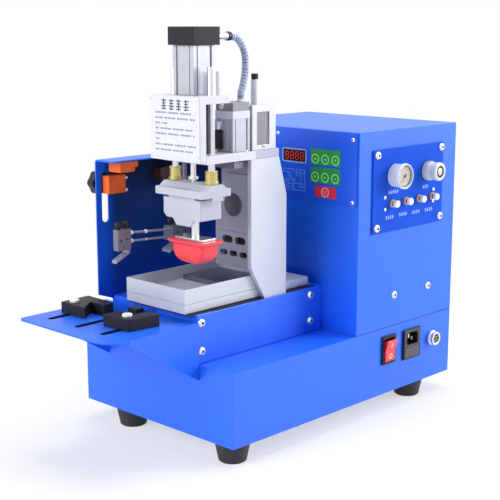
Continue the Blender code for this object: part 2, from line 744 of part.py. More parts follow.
def feet():
    """Four tapered rubber feet."""
    top = FOOT_TOP_DIAMETER / 2
    bottom = FOOT_BOTTOM_DIAMETER / 2
    profile = [
        (0, -FOOT_HEIGHT),
        (bottom - FOOT_BOTTOM_ROUND, -FOOT_HEIGHT),
        (bottom, -FOOT_HEIGHT + FOOT_BOTTOM_ROUND),
        (top, -GAP),
        (0, -GAP),
    ]
    for side, x in (("left", BASE_LEFT + LEFT_FEET_INSET), ("right", BASE_RIGHT - RIGHT_FEET_INSET)):
        for end, y in (("front", FRONT_FEET_Y), ("rear", REAR_FEET_Y)):
            part(f"foot_{end}_{side}", turned("Z", x, y, profile), BLACK_RUBBER, (x, y, -GAP))


def platform():
    """Sheet housing of the slide, open below, with a long slot for the column's foot."""
    rear = PLATFORM_LENGTH - GAP
    shape = box(PLATFORM_LEFT, PLATFORM_RIGHT, 0, rear, PLATFORM_BOTTOM, PLATFORM_TOP)
    cut(shape, box(PLATFORM_LEFT + SHEET, PLATFORM_RIGHT - SHEET, SHEET, rear + OVERCUT,
                   PLATFORM_BOTTOM - OVERCUT, PLATFORM_TOP - SHEET))
    cut(shape, box(COLUMN_RIGHT - COLUMN_PLATE - GAP, COLUMN_RIGHT + GAP,
                   COLUMN_FOOT_FRONT + SLIDE_FORWARD - RUNNING, COLUMN_FOOT_REAR + SLIDE_BACK + RUNNING,
                   PLATFORM_TOP - SHEET - OVERCUT, PLATFORM_TOP + OVERCUT))
    return part("platform", shape, BLUE_PAINT)


def control_box():
    """Sheet box on the rear of the base, open below, with windows behind its two panels."""
    rear = BASE_LENGTH
    shape = box(BASE_LEFT, BASE_RIGHT, BOX_FRONT, rear, BOX_BOTTOM, BOX_TOP)
    cut(shape, box(BASE_LEFT + SHEET, BASE_RIGHT - SHEET, BOX_FRONT + SHEET, rear - SHEET,
                   BOX_BOTTOM - OVERCUT, BOX_TOP - SHEET))
    margin = PANEL_SCREW_INSET + PANEL_WINDOW_MARGIN
    cut(shape, box(PANEL_LEFT + PANEL_WINDOW_MARGIN, PANEL_RIGHT - margin,
                   BOX_FRONT - OVERCUT, BOX_FRONT + SHEET + OVERCUT,
                   RED_KEY_Z - KEY_DIAMETER, PANEL_TOP_Z - margin))
    cut(shape, cylinder("Y", 0, DRIVE_AXIS_Z, DRIVE_ROD_DIAMETER / 2 + RUNNING,
                        BOX_FRONT - OVERCUT, BOX_FRONT + SHEET + OVERCUT))
    inset = AIR_PANEL_SCREW_INSET * 2
    cut(shape, box(BASE_RIGHT - SHEET - OVERCUT, BASE_RIGHT + OVERCUT,
                   AIR_PANEL_FRONT + inset, AIR_PANEL_REAR - inset,
                   VALVE_Z - VALVE_DIAMETER, AIR_PANEL_TOP_Z - inset))
    return part("control_box", shape, BLUE_PAINT)


def work_table():
    """Bent sheet: slotted top, a gusset on each side and a rear flange."""
    top = TABLE_TOP_Z
    under = top - SHEET
    rear = -GAP
    corners = rectangle(TABLE_LEFT, TABLE_RIGHT, TABLE_FRONT, rear)
    shape = prism(rounded(corners, [TABLE_LEFT_ROUND, TABLE_RIGHT_ROUND, 0, 0]), "Z", under, top)
    fuse(shape, box(TABLE_LEFT, TABLE_RIGHT, rear - SHEET, rear, top - TABLE_FLANGE_DEPTH, top))
    tip = (TABLE_FRONT + GUSSET_TIP_INSET + TABLE_RIGHT_ROUND / 2, top - SHEET - GUSSET_TIP_DEPTH)
    heel = (rear, top - GUSSET_DEPTH)
    gusset = [(tip[0], under + SHEET / 2), tip, heel, (rear, under + SHEET / 2)]
    fuse(shape, prism(gusset, "X", TABLE_RIGHT - SHEET, TABLE_RIGHT))
    fuse(shape, prism(gusset, "X", TABLE_LEFT, TABLE_LEFT + SHEET))
    for share in GUSSET_NOTCH_SHARES:
        y = tip[0] + (heel[0] - tip[0]) * share
        z = tip[1] + (heel[1] - tip[1]) * share
        half = GUSSET_NOTCH / 2
        cut(shape, box(TABLE_RIGHT - SHEET - OVERCUT, TABLE_RIGHT + OVERCUT,
                       y - half, y + half, z - half, z + half))
    middle = (TABLE_SLOT_FRONT + TABLE_SLOT_REAR) / 2
    length = TABLE_SLOT_REAR - TABLE_SLOT_FRONT
    for x in TABLE_SLOT_PLACES:
        outline = slot_outline(x, middle, TABLE_SLOT_WIDTH, length)
        cut(shape, prism(outline, "Z", under - OVERCUT, top + OVERCUT))
    return part("work_table", shape, BLUE_PAINT)


def clamp(name, outline, screw_x, screw_y, radii):
    """Angled black clamp with its screw through a table slot and a nut below."""
    bottom = TABLE_TOP_Z + GAP
    top = bottom + CLAMP_HEIGHT
    shape = prism(rounded(outline, radii), "Z", bottom, top)
    head = CLAMP_HEAD_DIAMETER / 2
    nut = CLAMP_NUT_DIAMETER / 2
    shank = CLAMP_SCREW_DIAMETER / 2
    nut_top = TABLE_TOP_Z - SHEET - GAP
    fuse(shape, cylinder("Z", screw_x, screw_y, head, top - GAP, top + CLAMP_HEAD_HEIGHT, PIN_SIDES))
    stem = cylinder("Z", screw_x, screw_y, shank, nut_top - CLAMP_NUT_HEIGHT / 2, bottom + SHEET, PIN_SIDES)
    hexagon = cylinder("Z", screw_x, screw_y, nut, nut_top - CLAMP_NUT_HEIGHT, nut_top, CLAMP_NUT_SIDES)
    fuse(shape, fuse(stem, hexagon))
    return part(name, shape, BLACK_PLASTIC, (screw_x, screw_y, bottom)) if name else shape


def clamps():
    """The two clamps that face each other, and the small block behind the right one."""
    x = TABLE_SLOT_PLACES[0]
    y = LEFT_CLAMP_SCREW_Y
    left = x - CLAMP_SIZE * LEFT_CLAMP_SIDE_SHARE
    right = left + CLAMP_SIZE
    step, tip, edge = [CLAMP_ARM * share for share in LEFT_CLAMP_ARM_SHARES]
    places = (left, right, right - CLAMP_ARM, right + step, right + tip, left + edge)
    outline = [(a, y + CLAMP_SIZE * share) for a, share in zip(places, LEFT_CLAMP_SIZE_SHARES)]
    clamp("left_clamp", outline, x, y, [0, 0, 0, 0, 0, CLAMP_ROUND / 2])
    x = TABLE_SLOT_PLACES[2]
    y = RIGHT_CLAMP_SCREW_Y
    right = x + CLAMP_SIZE * RIGHT_CLAMP_SIDE_SHARE
    near, far = [right + CLAMP_SIZE * share for share in RIGHT_CLAMP_EDGE_SHARES]
    places = (right - CLAMP_SIZE, near, far, right - CLAMP_ARM * RIGHT_CLAMP_ARM_SHARE,
              right - CLAMP_ARM, right - CLAMP_SIZE)
    outline = [(a, y + CLAMP_SIZE * share) for a, share in zip(places, RIGHT_CLAMP_SIZE_SHARES)]
    shape = clamp(None, outline, x, y, [0, CLAMP_ROUND, 0, 0, 0, 0])
    bottom = TABLE_TOP_Z + GAP
    block_left = right - CLAMP_ARM - STOP_CUBE_REACH
    block_front = y + CLAMP_SIZE * RIGHT_CLAMP_SIZE_SHARES[-1] - CLAMP_ROUND / 2
    fuse(shape, box(block_left, block_left + STOP_CUBE, block_front, block_front + STOP_CUBE,
                    bottom, bottom + CLAMP_HEIGHT - CLAMP_ROUND / 2))
    part("right_clamp", shape, BLACK_PLASTIC, (x, y, bottom))


def guard():
    """Bent guard sheet with a top flange, a cut lower corner and a slot."""
    left = PLATFORM_LEFT - GAP - SHEET
    right = PLATFORM_LEFT - GAP
    rear = BOX_FRONT - GAP
    section = rounded(
        [(left, GUARD_HEEL_Z - GUARD_SKIRT), (right, GUARD_HEEL_Z - GUARD_SKIRT),
         (right, GUARD_TOP_Z - SHEET), (left + GUARD_FLANGE, GUARD_TOP_Z - SHEET),
         (left + GUARD_FLANGE, GUARD_TOP_Z), (left, GUARD_TOP_Z)],
        [0, 0, GUARD_BEND - SHEET, 0, 0, GUARD_BEND])
    shape = prism(section, "Y", GUARD_FRONT, rear)
    low = GUARD_HEEL_Z - GUARD_SKIRT - OVERCUT
    corner = [(GUARD_FRONT - OVERCUT, low), (0, low), (0, GUARD_HEEL_Z),
              (GUARD_FRONT - OVERCUT, GUARD_NOSE_Z)]
    cut(shape, prism(corner, "X", left - OVERCUT, right + OVERCUT))
    height = GUARD_SLOT_TOP_Z - GUARD_SLOT_BOTTOM_Z
    middle = (GUARD_SLOT_TOP_Z + GUARD_SLOT_BOTTOM_Z) / 2
    outline = slot_outline(GUARD_SLOT_Y, middle, GUARD_SLOT_WIDTH, height)
    cut(shape, prism(outline, "X", left - OVERCUT, right + OVERCUT))
    return part("guard", shape, BLUE_PAINT)


def slot_block():
    """Orange block that the star knob holds against the guard's slot."""
    axis_z = SLOT_BLOCK_BOTTOM_Z + SLOT_BLOCK_HEIGHT / 2
    shape = box(PLATFORM_LEFT, PLATFORM_LEFT + SLOT_BLOCK_DEPTH,
                SLOT_BLOCK_FRONT, SLOT_BLOCK_FRONT + SLOT_BLOCK_LENGTH,
                SLOT_BLOCK_BOTTOM_Z, SLOT_BLOCK_BOTTOM_Z + SLOT_BLOCK_HEIGHT)
    cut(shape, cylinder("X", GUARD_SLOT_Y, axis_z, STAR_KNOB_STUD_DIAMETER / 2 + GAP,
                        PLATFORM_LEFT - OVERCUT, PLATFORM_LEFT + STAR_KNOB_STUD_BITE + GAP, PIN_SIDES))
    return part("slot_block", shape, ORANGE_PLASTIC, (PLATFORM_LEFT, GUARD_SLOT_Y, axis_z))


def star_knob():
    """Lobed knob outside the guard, with its stud through the slot."""
    outer = PLATFORM_LEFT - GAP - SHEET - GAP
    axis_z = SLOT_BLOCK_BOTTOM_Z + SLOT_BLOCK_HEIGHT / 2
    y = GUARD_SLOT_Y
    hub = STAR_KNOB_HUB_DIAMETER / 2
    points = []
    steps = STAR_KNOB_LOBES * STAR_KNOB_LOBE_STEPS
    for step in range(steps):
        turn = 2 * math.pi * step / steps
        swell = 1 - STAR_KNOB_LOBE_SHARE * (1 - math.cos(STAR_KNOB_LOBES * turn)) / 2
        radius = STAR_KNOB_DIAMETER / 2 * swell
        points.append((y + radius * math.cos(turn), axis_z + radius * math.sin(turn)))
    shape = prism(points, "X", outer - STAR_KNOB_WIDTH, outer - STAR_KNOB_HUB_WIDTH)
    fuse(shape, cylinder("X", y, axis_z, hub, outer - STAR_KNOB_HUB_WIDTH - GAP, outer))
    fuse(shape, cylinder("X", y, axis_z, STAR_KNOB_STUD_DIAMETER / 2, outer - GAP,
                         PLATFORM_LEFT + STAR_KNOB_STUD_BITE, PIN_SIDES))
    return part("star_knob", shape, BLACK_PLASTIC, (outer, y, axis_z))


def slide_rail():
    """Two rails on one thin bed plate on the base's top, inside the housing."""
    reach = RAIL_SPREAD / 2 + RAIL_WIDTH / 2
    front = SHEET + RAIL_END_INSET
    rear = PLATFORM_LENGTH - RAIL_END_INSET
    shape = box(-reach, reach, front, rear, PLATFORM_BOTTOM, PLATFORM_BOTTOM + RAIL_HEIGHT)
    cut(shape, box(RAIL_WIDTH - reach, reach - RAIL_WIDTH, front - OVERCUT, rear + OVERCUT,
                   PLATFORM_BOTTOM + RAIL_BED, PLATFORM_BOTTOM + RAIL_HEIGHT + OVERCUT))
    return part("slide_rail", shape, STEEL)


def carriage_plate():
    """Plate under the housing's top: rides on two shoes and is pushed by the drive rod."""
    front = COLUMN_FOOT_FRONT
    rear = COLUMN_FOOT_REAR
    bottom = PLATFORM_BOTTOM + SHOE_HEIGHT
    shape = box(CARRIAGE_LEFT, COLUMN_RIGHT - COLUMN_PLATE - GAP, front, rear,
                bottom, bottom + CARRIAGE_PLATE_THICKNESS)
    for side in (-1, 1):
        x = side * RAIL_SPREAD / 2
        shoe = box(x - SHOE_WIDTH / 2, x + SHOE_WIDTH / 2, front, rear,
                   PLATFORM_BOTTOM + SHEET, bottom + GAP)
        cut(shoe, box(x - RAIL_WIDTH / 2 - RUNNING, x + RAIL_WIDTH / 2 + RUNNING,
                      front - OVERCUT, rear + OVERCUT,
                      PLATFORM_BOTTOM - OVERCUT, PLATFORM_BOTTOM + RAIL_HEIGHT + RUNNING))
        fuse(shape, shoe)
    lug_half = DRIVE_ROD_DIAMETER
    fuse(shape, box(-lug_half, lug_half, front, rear, DRIVE_AXIS_Z - lug_half, bottom + GAP))
    radius = DRIVE_ROD_DIAMETER / 2
    piston = DRIVE_BORE / 2 - PISTON_CLEARANCE
    fuse(shape, turned("Y", 0, DRIVE_AXIS_Z, [
        (0, rear - DRIVE_ROD_DIAMETER), (radius, rear - DRIVE_ROD_DIAMETER),
        (radius, DRIVE_PISTON_Y), (piston, DRIVE_PISTON_Y),
        (piston, DRIVE_PISTON_Y + DRIVE_PISTON_LENGTH), (0, DRIVE_PISTON_Y + DRIVE_PISTON_LENGTH)]))
    return part("carriage_plate", shape, ALUMINIUM, (0, rear, DRIVE_AXIS_Z))


def drive_cylinder():
    """Horizontal air cylinder in the control box that moves the carriage."""
    half = DRIVE_SIZE / 2
    front = BOX_FRONT + SHEET + GAP
    shape = box(-half, half, front, DRIVE_REAR, DRIVE_AXIS_Z - half, DRIVE_AXIS_Z + half)
    cut(shape, cylinder("Y", 0, DRIVE_AXIS_Z, DRIVE_BORE / 2, front + DRIVE_WALL, DRIVE_REAR - DRIVE_WALL))
    cut(shape, cylinder("Y", 0, DRIVE_AXIS_Z, DRIVE_ROD_DIAMETER / 2 + RUNNING,
                        front - OVERCUT, front + DRIVE_WALL + OVERCUT))
    for y in (front, DRIVE_REAR - DRIVE_SIZE):
        fuse(shape, box(-DRIVE_SIZE, DRIVE_SIZE, y, y + DRIVE_SIZE, BOX_BOTTOM,
                        DRIVE_AXIS_Z - half + GAP))
    return part("drive_cylinder", shape, ALUMINIUM)


def tray_base():
    """Thick plate under the ink tray, on four low spacers."""
    shape = box(TRAY_LEFT, TRAY_RIGHT, TRAY_FRONT, TRAY_BASE_REAR, TRAY_BASE_BOTTOM, TRAY_BASE_TOP)
    size = TRAY_SPACER_SIZE
    for x in (TRAY_LEFT + size, TRAY_RIGHT - 2 * size):
        for y in (size, TRAY_BASE_REAR - 2 * size):
            fuse(shape, box(x, x + size, y, y + size, PLATFORM_TOP + GAP, TRAY_BASE_BOTTOM + GAP))
    return part("tray_base", shape, ALUMINIUM)


def ink_tray():
    """Open tray with thin walls."""
    wall = TRAY_WALL
    shape = box(TRAY_LEFT, TRAY_RIGHT, TRAY_FRONT, TRAY_REAR, TRAY_BOTTOM, TRAY_RIM)
    cut(shape, box(TRAY_LEFT + wall, TRAY_RIGHT - wall, TRAY_FRONT + wall, TRAY_REAR - wall,
                   TRAY_FLOOR, TRAY_RIM + OVERCUT))
    return part("ink_tray", shape, WHITE_METAL)


def steel_plate():
    """Polished printing plate lying in the tray."""
    margin = STEEL_SIDE_MARGIN
    bottom = TRAY_FLOOR + GAP
    return part("steel_plate", box(TRAY_LEFT + margin, TRAY_RIGHT - margin, STEEL_FRONT, STEEL_REAR,
                                   bottom, bottom + STEEL_THICKNESS), POLISHED_STEEL)


def column_side_plate():
    """Right side plate whose foot reaches down to the carriage plate."""
    outline = [
        (COLUMN_FRONT, COLUMN_TOP_Z), (COLUMN_FRONT, COLUMN_WAIST_Z),
        (COLUMN_FOOT_FRONT, PLATFORM_TOP), (COLUMN_FOOT_FRONT, COLUMN_FOOT_Z),
        (COLUMN_FOOT_REAR, COLUMN_FOOT_Z), (COLUMN_FOOT_REAR, COLUMN_REAR_Z),
        (COLUMN_TOP_REAR, COLUMN_TOP_Z),
    ]
    return part("column_side_plate",
                prism(outline, "X", COLUMN_RIGHT - COLUMN_PLATE, COLUMN_RIGHT), ALUMINIUM)


def column_channel():
    """Web with its windows, the left plate and the notched cap."""
    inner = COLUMN_RIGHT - COLUMN_PLATE - GAP
    top = COLUMN_TOP_Z + GAP * 2
    shape = box(COLUMN_LEFT, inner, WEB_FRONT, WEB_FRONT + WEB_THICKNESS, WEB_BOTTOM_Z, top)
    fuse(shape, box(COLUMN_LEFT, COLUMN_LEFT + COLUMN_PLATE, WEB_FRONT, LEFT_PLATE_REAR, WEB_BOTTOM_Z,
                    COLUMN_REAR_Z))
    upper = [(WEB_FRONT, COLUMN_REAR_Z - GAP), (LEFT_PLATE_REAR, COLUMN_REAR_Z - GAP),
             (COLUMN_TOP_REAR - GAP, top), (WEB_FRONT, top)]
    fuse(shape, prism(upper, "X", COLUMN_LEFT, COLUMN_LEFT + COLUMN_PLATE))
    cut(shape, box(COLUMN_LEFT - OVERCUT, WEB_NOTCH_RIGHT, WEB_FRONT - OVERCUT,
                   LEFT_PLATE_REAR + COLUMN_TOP_REAR, WEB_NOTCH_Z, top + OVERCUT))
    fuse(shape, box(COLUMN_LEFT, COLUMN_RIGHT, ARM_REAR + GAP, CAP_REAR, ARM_BOTTOM, ARM_TOP))
    cut(shape, box(ARM_TONGUE_LEFT - GAP, ARM_TONGUE_RIGHT + GAP, ARM_REAR - OVERCUT,
                   ARM_TONGUE_REAR + GAP, ARM_BOTTOM - GAP, ARM_TOP + OVERCUT))
    window = (WEB_FRONT - OVERCUT, WEB_FRONT + WEB_THICKNESS + OVERCUT)
    cut(shape, cylinder("Y", WEB_WINDOW_X, WEB_WINDOW_Z, WEB_WINDOW_DIAMETER / 2, *window))
    for x in WEB_UPPER_SLOTS:
        cut(shape, prism(slot_outline(x, WEB_UPPER_SLOT_Z, WEB_UPPER_SLOT_WIDTH, WEB_UPPER_SLOT_HEIGHT),
                         "Y", *window))
    for x in WEB_LOWER_SLOTS:
        cut(shape, prism(slot_outline(x, WEB_LOWER_SLOT_Z, WEB_LOWER_SLOT_WIDTH, WEB_LOWER_SLOT_HEIGHT),
                         "Y", *window))
    return part("column_channel", shape, ALUMINIUM)


def rod_places():
    """The two guide rods' places across."""
    return (HEAD_X - ROD_SPREAD / 2, HEAD_X + ROD_SPREAD / 2)


def arm_plate():
    """Plate from the column to the head, with a tongue, a front lip and rod holes."""
    shape = box(ARM_LEFT, ARM_RIGHT, ARM_FRONT, ARM_REAR, ARM_BOTTOM, ARM_TOP)
    fuse(shape, box(ARM_TONGUE_LEFT, ARM_TONGUE_RIGHT, ARM_REAR - GAP, ARM_TONGUE_REAR,
                    ARM_BOTTOM, ARM_TOP))
    lip_front = FRONT_PLATE_FRONT + FRONT_PLATE_THICKNESS + GAP
    fuse(shape, box(ARM_LEFT + ARM_LIP_MARGIN, ARM_RIGHT - ARM_LIP_MARGIN, lip_front, ARM_FRONT + GAP,
                    ARM_TOP - ARM_LIP_THICKNESS, ARM_TOP))
    through = (ARM_BOTTOM - OVERCUT, ARM_TOP + OVERCUT)
    for x in rod_places():
        cut(shape, cylinder("Z", x, HEAD_Y, ROD_DIAMETER / 2 + RUNNING, *through))
    cut(shape, cylinder("Z", HEAD_X, HEAD_Y, PISTON_ROD_DIAMETER / 2 + RUNNING, *through))
    cut(shape, cylinder("Z", SCRAPER_X, SCRAPER_Y, SCRAPER_ROD_DIAMETER / 2 + RUNNING, *through))
    return part("arm_plate", shape, ALUMINIUM)


def head_bracket():
    """Front plate and top plate that carry the main cylinder."""
    rear = FRONT_PLATE_FRONT + FRONT_PLATE_THICKNESS
    under = HEAD_TOP_Z - TOP_PLATE_THICKNESS
    shape = box(FRONT_PLATE_LEFT, FRONT_PLATE_RIGHT, FRONT_PLATE_FRONT, rear,
                FRONT_PLATE_BOTTOM_Z, HEAD_TOP_Z)
    fuse(shape, box(FRONT_PLATE_LEFT + TOP_PLATE_INSET, FRONT_PLATE_RIGHT - TOP_PLATE_INSET,
                    rear - GAP, TOP_PLATE_REAR, under, HEAD_TOP_Z))
    through = (under - OVERCUT, HEAD_TOP_Z + OVERCUT)
    for x in rod_places():
        cut(shape, cylinder("Z", x, HEAD_Y, ROD_DIAMETER / 2 + RUNNING, *through))
    cut(shape, cylinder("Z", HEAD_X, HEAD_Y, PISTON_ROD_DIAMETER / 2 + RUNNING, *through))
    return part("head_bracket", shape, WHITE_METAL)


def main_cylinder():
    """Grooved square tube of the main air cylinder."""
    half = CYLINDER_SIZE / 2
    groove = CYLINDER_GROOVE / 2
    deep = half - CYLINDER_GROOVE_DEPTH
    corner = half - CYLINDER_CORNER
    quarter = [(half, corner), (corner, half), (groove, half), (groove - CYLINDER_GROOVE_DEPTH, deep)]
    outline = []
    for turn in range(4):
        for a, b in quarter:
            for _ in range(turn):
                a, b = -b, a
            outline.append((HEAD_X + a, HEAD_Y + b))
        a, b = -(groove - CYLINDER_GROOVE_DEPTH), deep
        c, d = -groove, half
        for _ in range(turn):
            a, b = -b, a
            c, d = -d, c
        outline.append((HEAD_X + a, HEAD_Y + b))
        outline.append((HEAD_X + c, HEAD_Y + d))
    shape = prism(outline, "Z", CYLINDER_BOTTOM, CYLINDER_TOP)
    cut(shape, cylinder("Z", HEAD_X, HEAD_Y, CYLINDER_BORE / 2, CYLINDER_BOTTOM - OVERCUT,
                        CYLINDER_TOP + OVERCUT))
    return part("main_cylinder", shape, ALUMINIUM)


def cylinder_cap():
    """Black end block with the fitting on its rear face."""
    half = CAP_SIZE / 2
    outline = rounded(rectangle(HEAD_X - half, HEAD_X + half, HEAD_Y - half, HEAD_Y + half),
                      [CAP_ROUND] * 4)
    shape = prism(outline, "Z", CAP_BOTTOM, CAP_TOP)
    stub = FITTING_STUB_DIAMETER / 2
    ring = FITTING_RING_DIAMETER / 2
    ring_start = FITTING_Y + FITTING_STUB_LENGTH
    fuse(shape, turned("Y", FITTING_X, FITTING_Z, [
        (0, FITTING_Y - CAP_ROUND), (stub, FITTING_Y - CAP_ROUND), (stub, ring_start),
        (ring, ring_start), (ring, FITTING_END), (0, FITTING_END)], PIN_SIDES))
    return part("cylinder_cap", shape, BLACK_PLASTIC)


def guide_rods():
    """Two guide rods with domed tops, each in the collared bushing that seats it on the holder."""
    low = HOLDER_TOP_TOP + GAP
    radius = ROD_DIAMETER / 2
    outer = BUSHING_DIAMETER / 2
    collar = BUSHING_COLLAR_DIAMETER / 2
    step = low + BUSHING_COLLAR
    top = low + BUSHING_HEIGHT
    for side, x in zip(("left", "right"), rod_places()):
        shape = turned("Z", x, HEAD_Y, [
            (0, low), (collar, low), (collar, step), (outer, step), (outer, top), (radius, top),
            (radius, ROD_TOP_Z - ROD_DOME), (radius * 3 / 4, ROD_TOP_Z - ROD_DOME / 3),
            (0, ROD_TOP_Z)], 16)
        part(f"guide_rod_{side}", shape, STEEL, (x, HEAD_Y, low))


def piston_rod():
    """Rod of the main cylinder, with its coupling below and its piston above."""
    low = HOLDER_TOP_TOP + GAP
    top = CYLINDER_TOP - PISTON_TOP_INSET
    bottom = top - PISTON_LENGTH
    rod = PISTON_ROD_DIAMETER / 2
    piston = CYLINDER_BORE / 2 - PISTON_CLEARANCE
    neck = COUPLING_NECK_DIAMETER / 2
    coupling = COUPLING_DIAMETER / 2
    seat = low + COUPLING_NECK_HEIGHT
    step = seat + COUPLING_HEIGHT
    shape = turned("Z", HEAD_X, HEAD_Y, [
        (0, low), (neck, low), (neck, seat), (coupling, seat), (coupling, step), (rod, step),
        (rod, bottom), (piston, bottom), (piston, top), (0, top)])
    return part("piston_rod", shape, STEEL, (HEAD_X, HEAD_Y, low))


def holder_top():
    """Upper plate of the pad holder: a ridge with sloped sides, and a short tongue below its right end."""
    low = HOLDER_TOP_BOTTOM_Z
    step = low + HOLDER_TOP_PLATE
    top = HOLDER_TOP_TOP
    outline = [
        (HOLDER_TOP_FRONT, low), (HOLDER_TOP_REAR, low), (HOLDER_TOP_REAR, step), (HOLDER_LEDGE_REAR, step),
        (HOLDER_RIDGE_REAR, top), (HOLDER_RIDGE_FRONT, top), (HOLDER_LEDGE_FRONT, step),
        (HOLDER_TOP_FRONT, step),
    ]
    shape = prism(outline, "X", HOLDER_TOP_LEFT, HOLDER_TOP_RIGHT)
    front, rear = HOLDER_TONGUE_FRONT, HOLDER_TONGUE_REAR
    slope = HOLDER_TONGUE_SLOPE
    tongue = [(front, low - HOLDER_TONGUE_DROP), (rear, low - HOLDER_TONGUE_DROP), (rear - slope, low + GAP),
              (front + slope, low + GAP)]
    fuse(shape, prism(tongue, "X", HOLDER_TONGUE_LEFT, HOLDER_TOP_RIGHT))
    return part("holder_top", shape, ALUMINIUM, (HEAD_X, HEAD_Y, low))


def holder_body():
    """Lower block of the pad holder with a neck above, and a cover in front that hangs lower."""
    top = HOLDER_TOP_BOTTOM_Z - GAP
    shoulder = top - HOLDER_NECK_HEIGHT
    left, right = HOLDER_LEFT, HOLDER_RIGHT
    neck = HOLDER_NECK_INSET
    step = HOLDER_STEP
    slope = HOLDER_STEP_SLOPE
    below = [(left, shoulder), (left, HOLDER_SIDE_Z), (left + slope, HOLDER_STEP_Z)]
    boss = [
        (left + slope + step, HOLDER_STEP_Z), (HOLDER_BOSS_LEFT, HOLDER_BOTTOM_Z),
        (HOLDER_BOSS_RIGHT, HOLDER_BOTTOM_Z), (HOLDER_BOSS_RIGHT + HOLDER_BOSS_SLOPE, HOLDER_STEP_Z),
    ]
    above = [(right, HOLDER_STEP_Z), (right, shoulder), (right - neck, shoulder), (right - neck, top),
             (left + neck, top), (left + neck, shoulder)]
    shape = prism(below + above, "Y", HOLDER_FRONT, HOLDER_REAR)
    fuse(shape, prism(below + boss + above, "Y", HOLDER_FRONT, HOLDER_FRONT + HOLDER_COVER))
    return part("holder_body", shape, WHITE_METAL, (HEAD_X, HEAD_Y, top))


def pad_stem():
    """Stem from the holder to the plate on the pad."""
    low = PAD_TOP_Z + GAP
    half_width = STEM_PLATE_WIDTH / 2
    half_depth = STEM_PLATE_DEPTH / 2
    shape = box(PAD_X - half_width, PAD_X + half_width, HEAD_Y - half_depth, HEAD_Y + half_depth,
                low, low + STEM_PLATE_THICKNESS)
    fuse(shape, cylinder("Z", PAD_X, HEAD_Y, STEM_DIAMETER / 2, low + STEM_PLATE_THICKNESS - GAP,
                         HOLDER_STEP_Z - GAP))
    return part("pad_stem", shape, WHITE_METAL, (PAD_X, HEAD_Y, low))


def pad_ring(width, depth, z):
    """A ring of the pad at one height: a rectangle with large round corners."""
    corner = PAD_CORNER_SHARE * depth
    outline = rounded(rectangle(PAD_X - width / 2, PAD_X + width / 2,
                                HEAD_Y - depth / 2, HEAD_Y + depth / 2), [corner] * 4)
    return [(a, b, z) for a, b in outline]


def printing_pad():
    """Soft red pad: a flange, and a body that rounds off below."""
    flange_bottom = PAD_TOP_Z - PAD_FLANGE_HEIGHT
    rings = [(PAD_WIDTH, PAD_DEPTH, flange_bottom), (PAD_BODY_WIDTH, PAD_BODY_DEPTH, flange_bottom)]
    for step in range(1, PAD_STEPS):
        turn = math.pi / 2 * step / PAD_STEPS
        shrink = math.cos(turn)
        width = PAD_BODY_WIDTH * (PAD_TIP_WIDTH_SHARE + (1 - PAD_TIP_WIDTH_SHARE) * shrink)
        depth = PAD_BODY_DEPTH * (PAD_TIP_DEPTH_SHARE + (1 - PAD_TIP_DEPTH_SHARE) * shrink)
        rings.append((width, depth, flange_bottom - PAD_BODY_HEIGHT * math.sin(turn)))
    bm = bmesh.new()
    face = bm.faces.new([bm.verts.new(point) for point in pad_ring(PAD_WIDTH, PAD_DEPTH, PAD_TOP_Z)])
    here = (PAD_WIDTH, PAD_DEPTH, PAD_TOP_Z)
    for ring in rings:
        inner = [] if here[2] == PAD_TOP_Z else [face]
        grown = bmesh.ops.extrude_face_region(bm, geom=[face])["geom"]
        face = next(item for item in grown if isinstance(item, bmesh.types.BMFace))
        bmesh.ops.delete(bm, geom=inner, context="FACES_ONLY")
        back = Matrix.Translation((-PAD_X, -HEAD_Y, -here[2]))
        sized = Matrix.Diagonal((ring[0] / here[0], ring[1] / here[1], 1, 1))
        placed = Matrix.Translation((PAD_X, HEAD_Y, ring[2]))
        bmesh.ops.transform(bm, matrix=placed @ sized @ back, verts=face.verts)
        here = ring
    bmesh.ops.triangulate(bm, faces=bm.faces)
    return part("printing_pad", object_from(bm), RED_RUBBER, (PAD_X, HEAD_Y, PAD_TOP_Z))


def scraper_cylinder():
    """Small square air cylinder with a two-layer cap."""
    half = SCRAPER_SIZE / 2
    x0, x1 = SCRAPER_X - half, SCRAPER_X + half
    y0, y1 = SCRAPER_Y - half, SCRAPER_Y + half
    groove = SCRAPER_CAP_GROOVE
    middle = (SCRAPER_TOP + SCRAPER_CAP_TOP) / 2
    shape = box(x0, x1, y0, y1, SCRAPER_BOTTOM, SCRAPER_CAP_TOP)
    inner = rectangle(x0 + groove, x1 - groove, y0 + groove, y1 - groove)
    outer = rectangle(x0 - OVERCUT, x1 + OVERCUT, y0 - OVERCUT, y1 + OVERCUT)
    for z in (SCRAPER_TOP, middle):
        ring = prism(outer, "Z", z - groove / 2, z + groove / 2)
        cut(ring, prism(inner, "Z", z - groove, z + groove))
        cut(shape, ring)
    cut(shape, cylinder("Z", SCRAPER_X, SCRAPER_Y, SCRAPER_BORE / 2, SCRAPER_BOTTOM - OVERCUT, SCRAPER_TOP))
    return part("scraper_cylinder", shape, ALUMINIUM)


def slanted_rod(x, y0, z0, y1, z1, radius):
    """A thin round rod between two places in a plane of one X."""
    start = Vector((x, y0, z0))
    end = Vector((x, y1, z1))
    shape = cylinder("Z", 0, 0, radius, 0, (end - start).length, 8)
    turn = (end - start).to_track_quat("Z", "Y").to_matrix().to_4x4()
    turn.translation = start
    shape.data.transform(turn)
    return shape


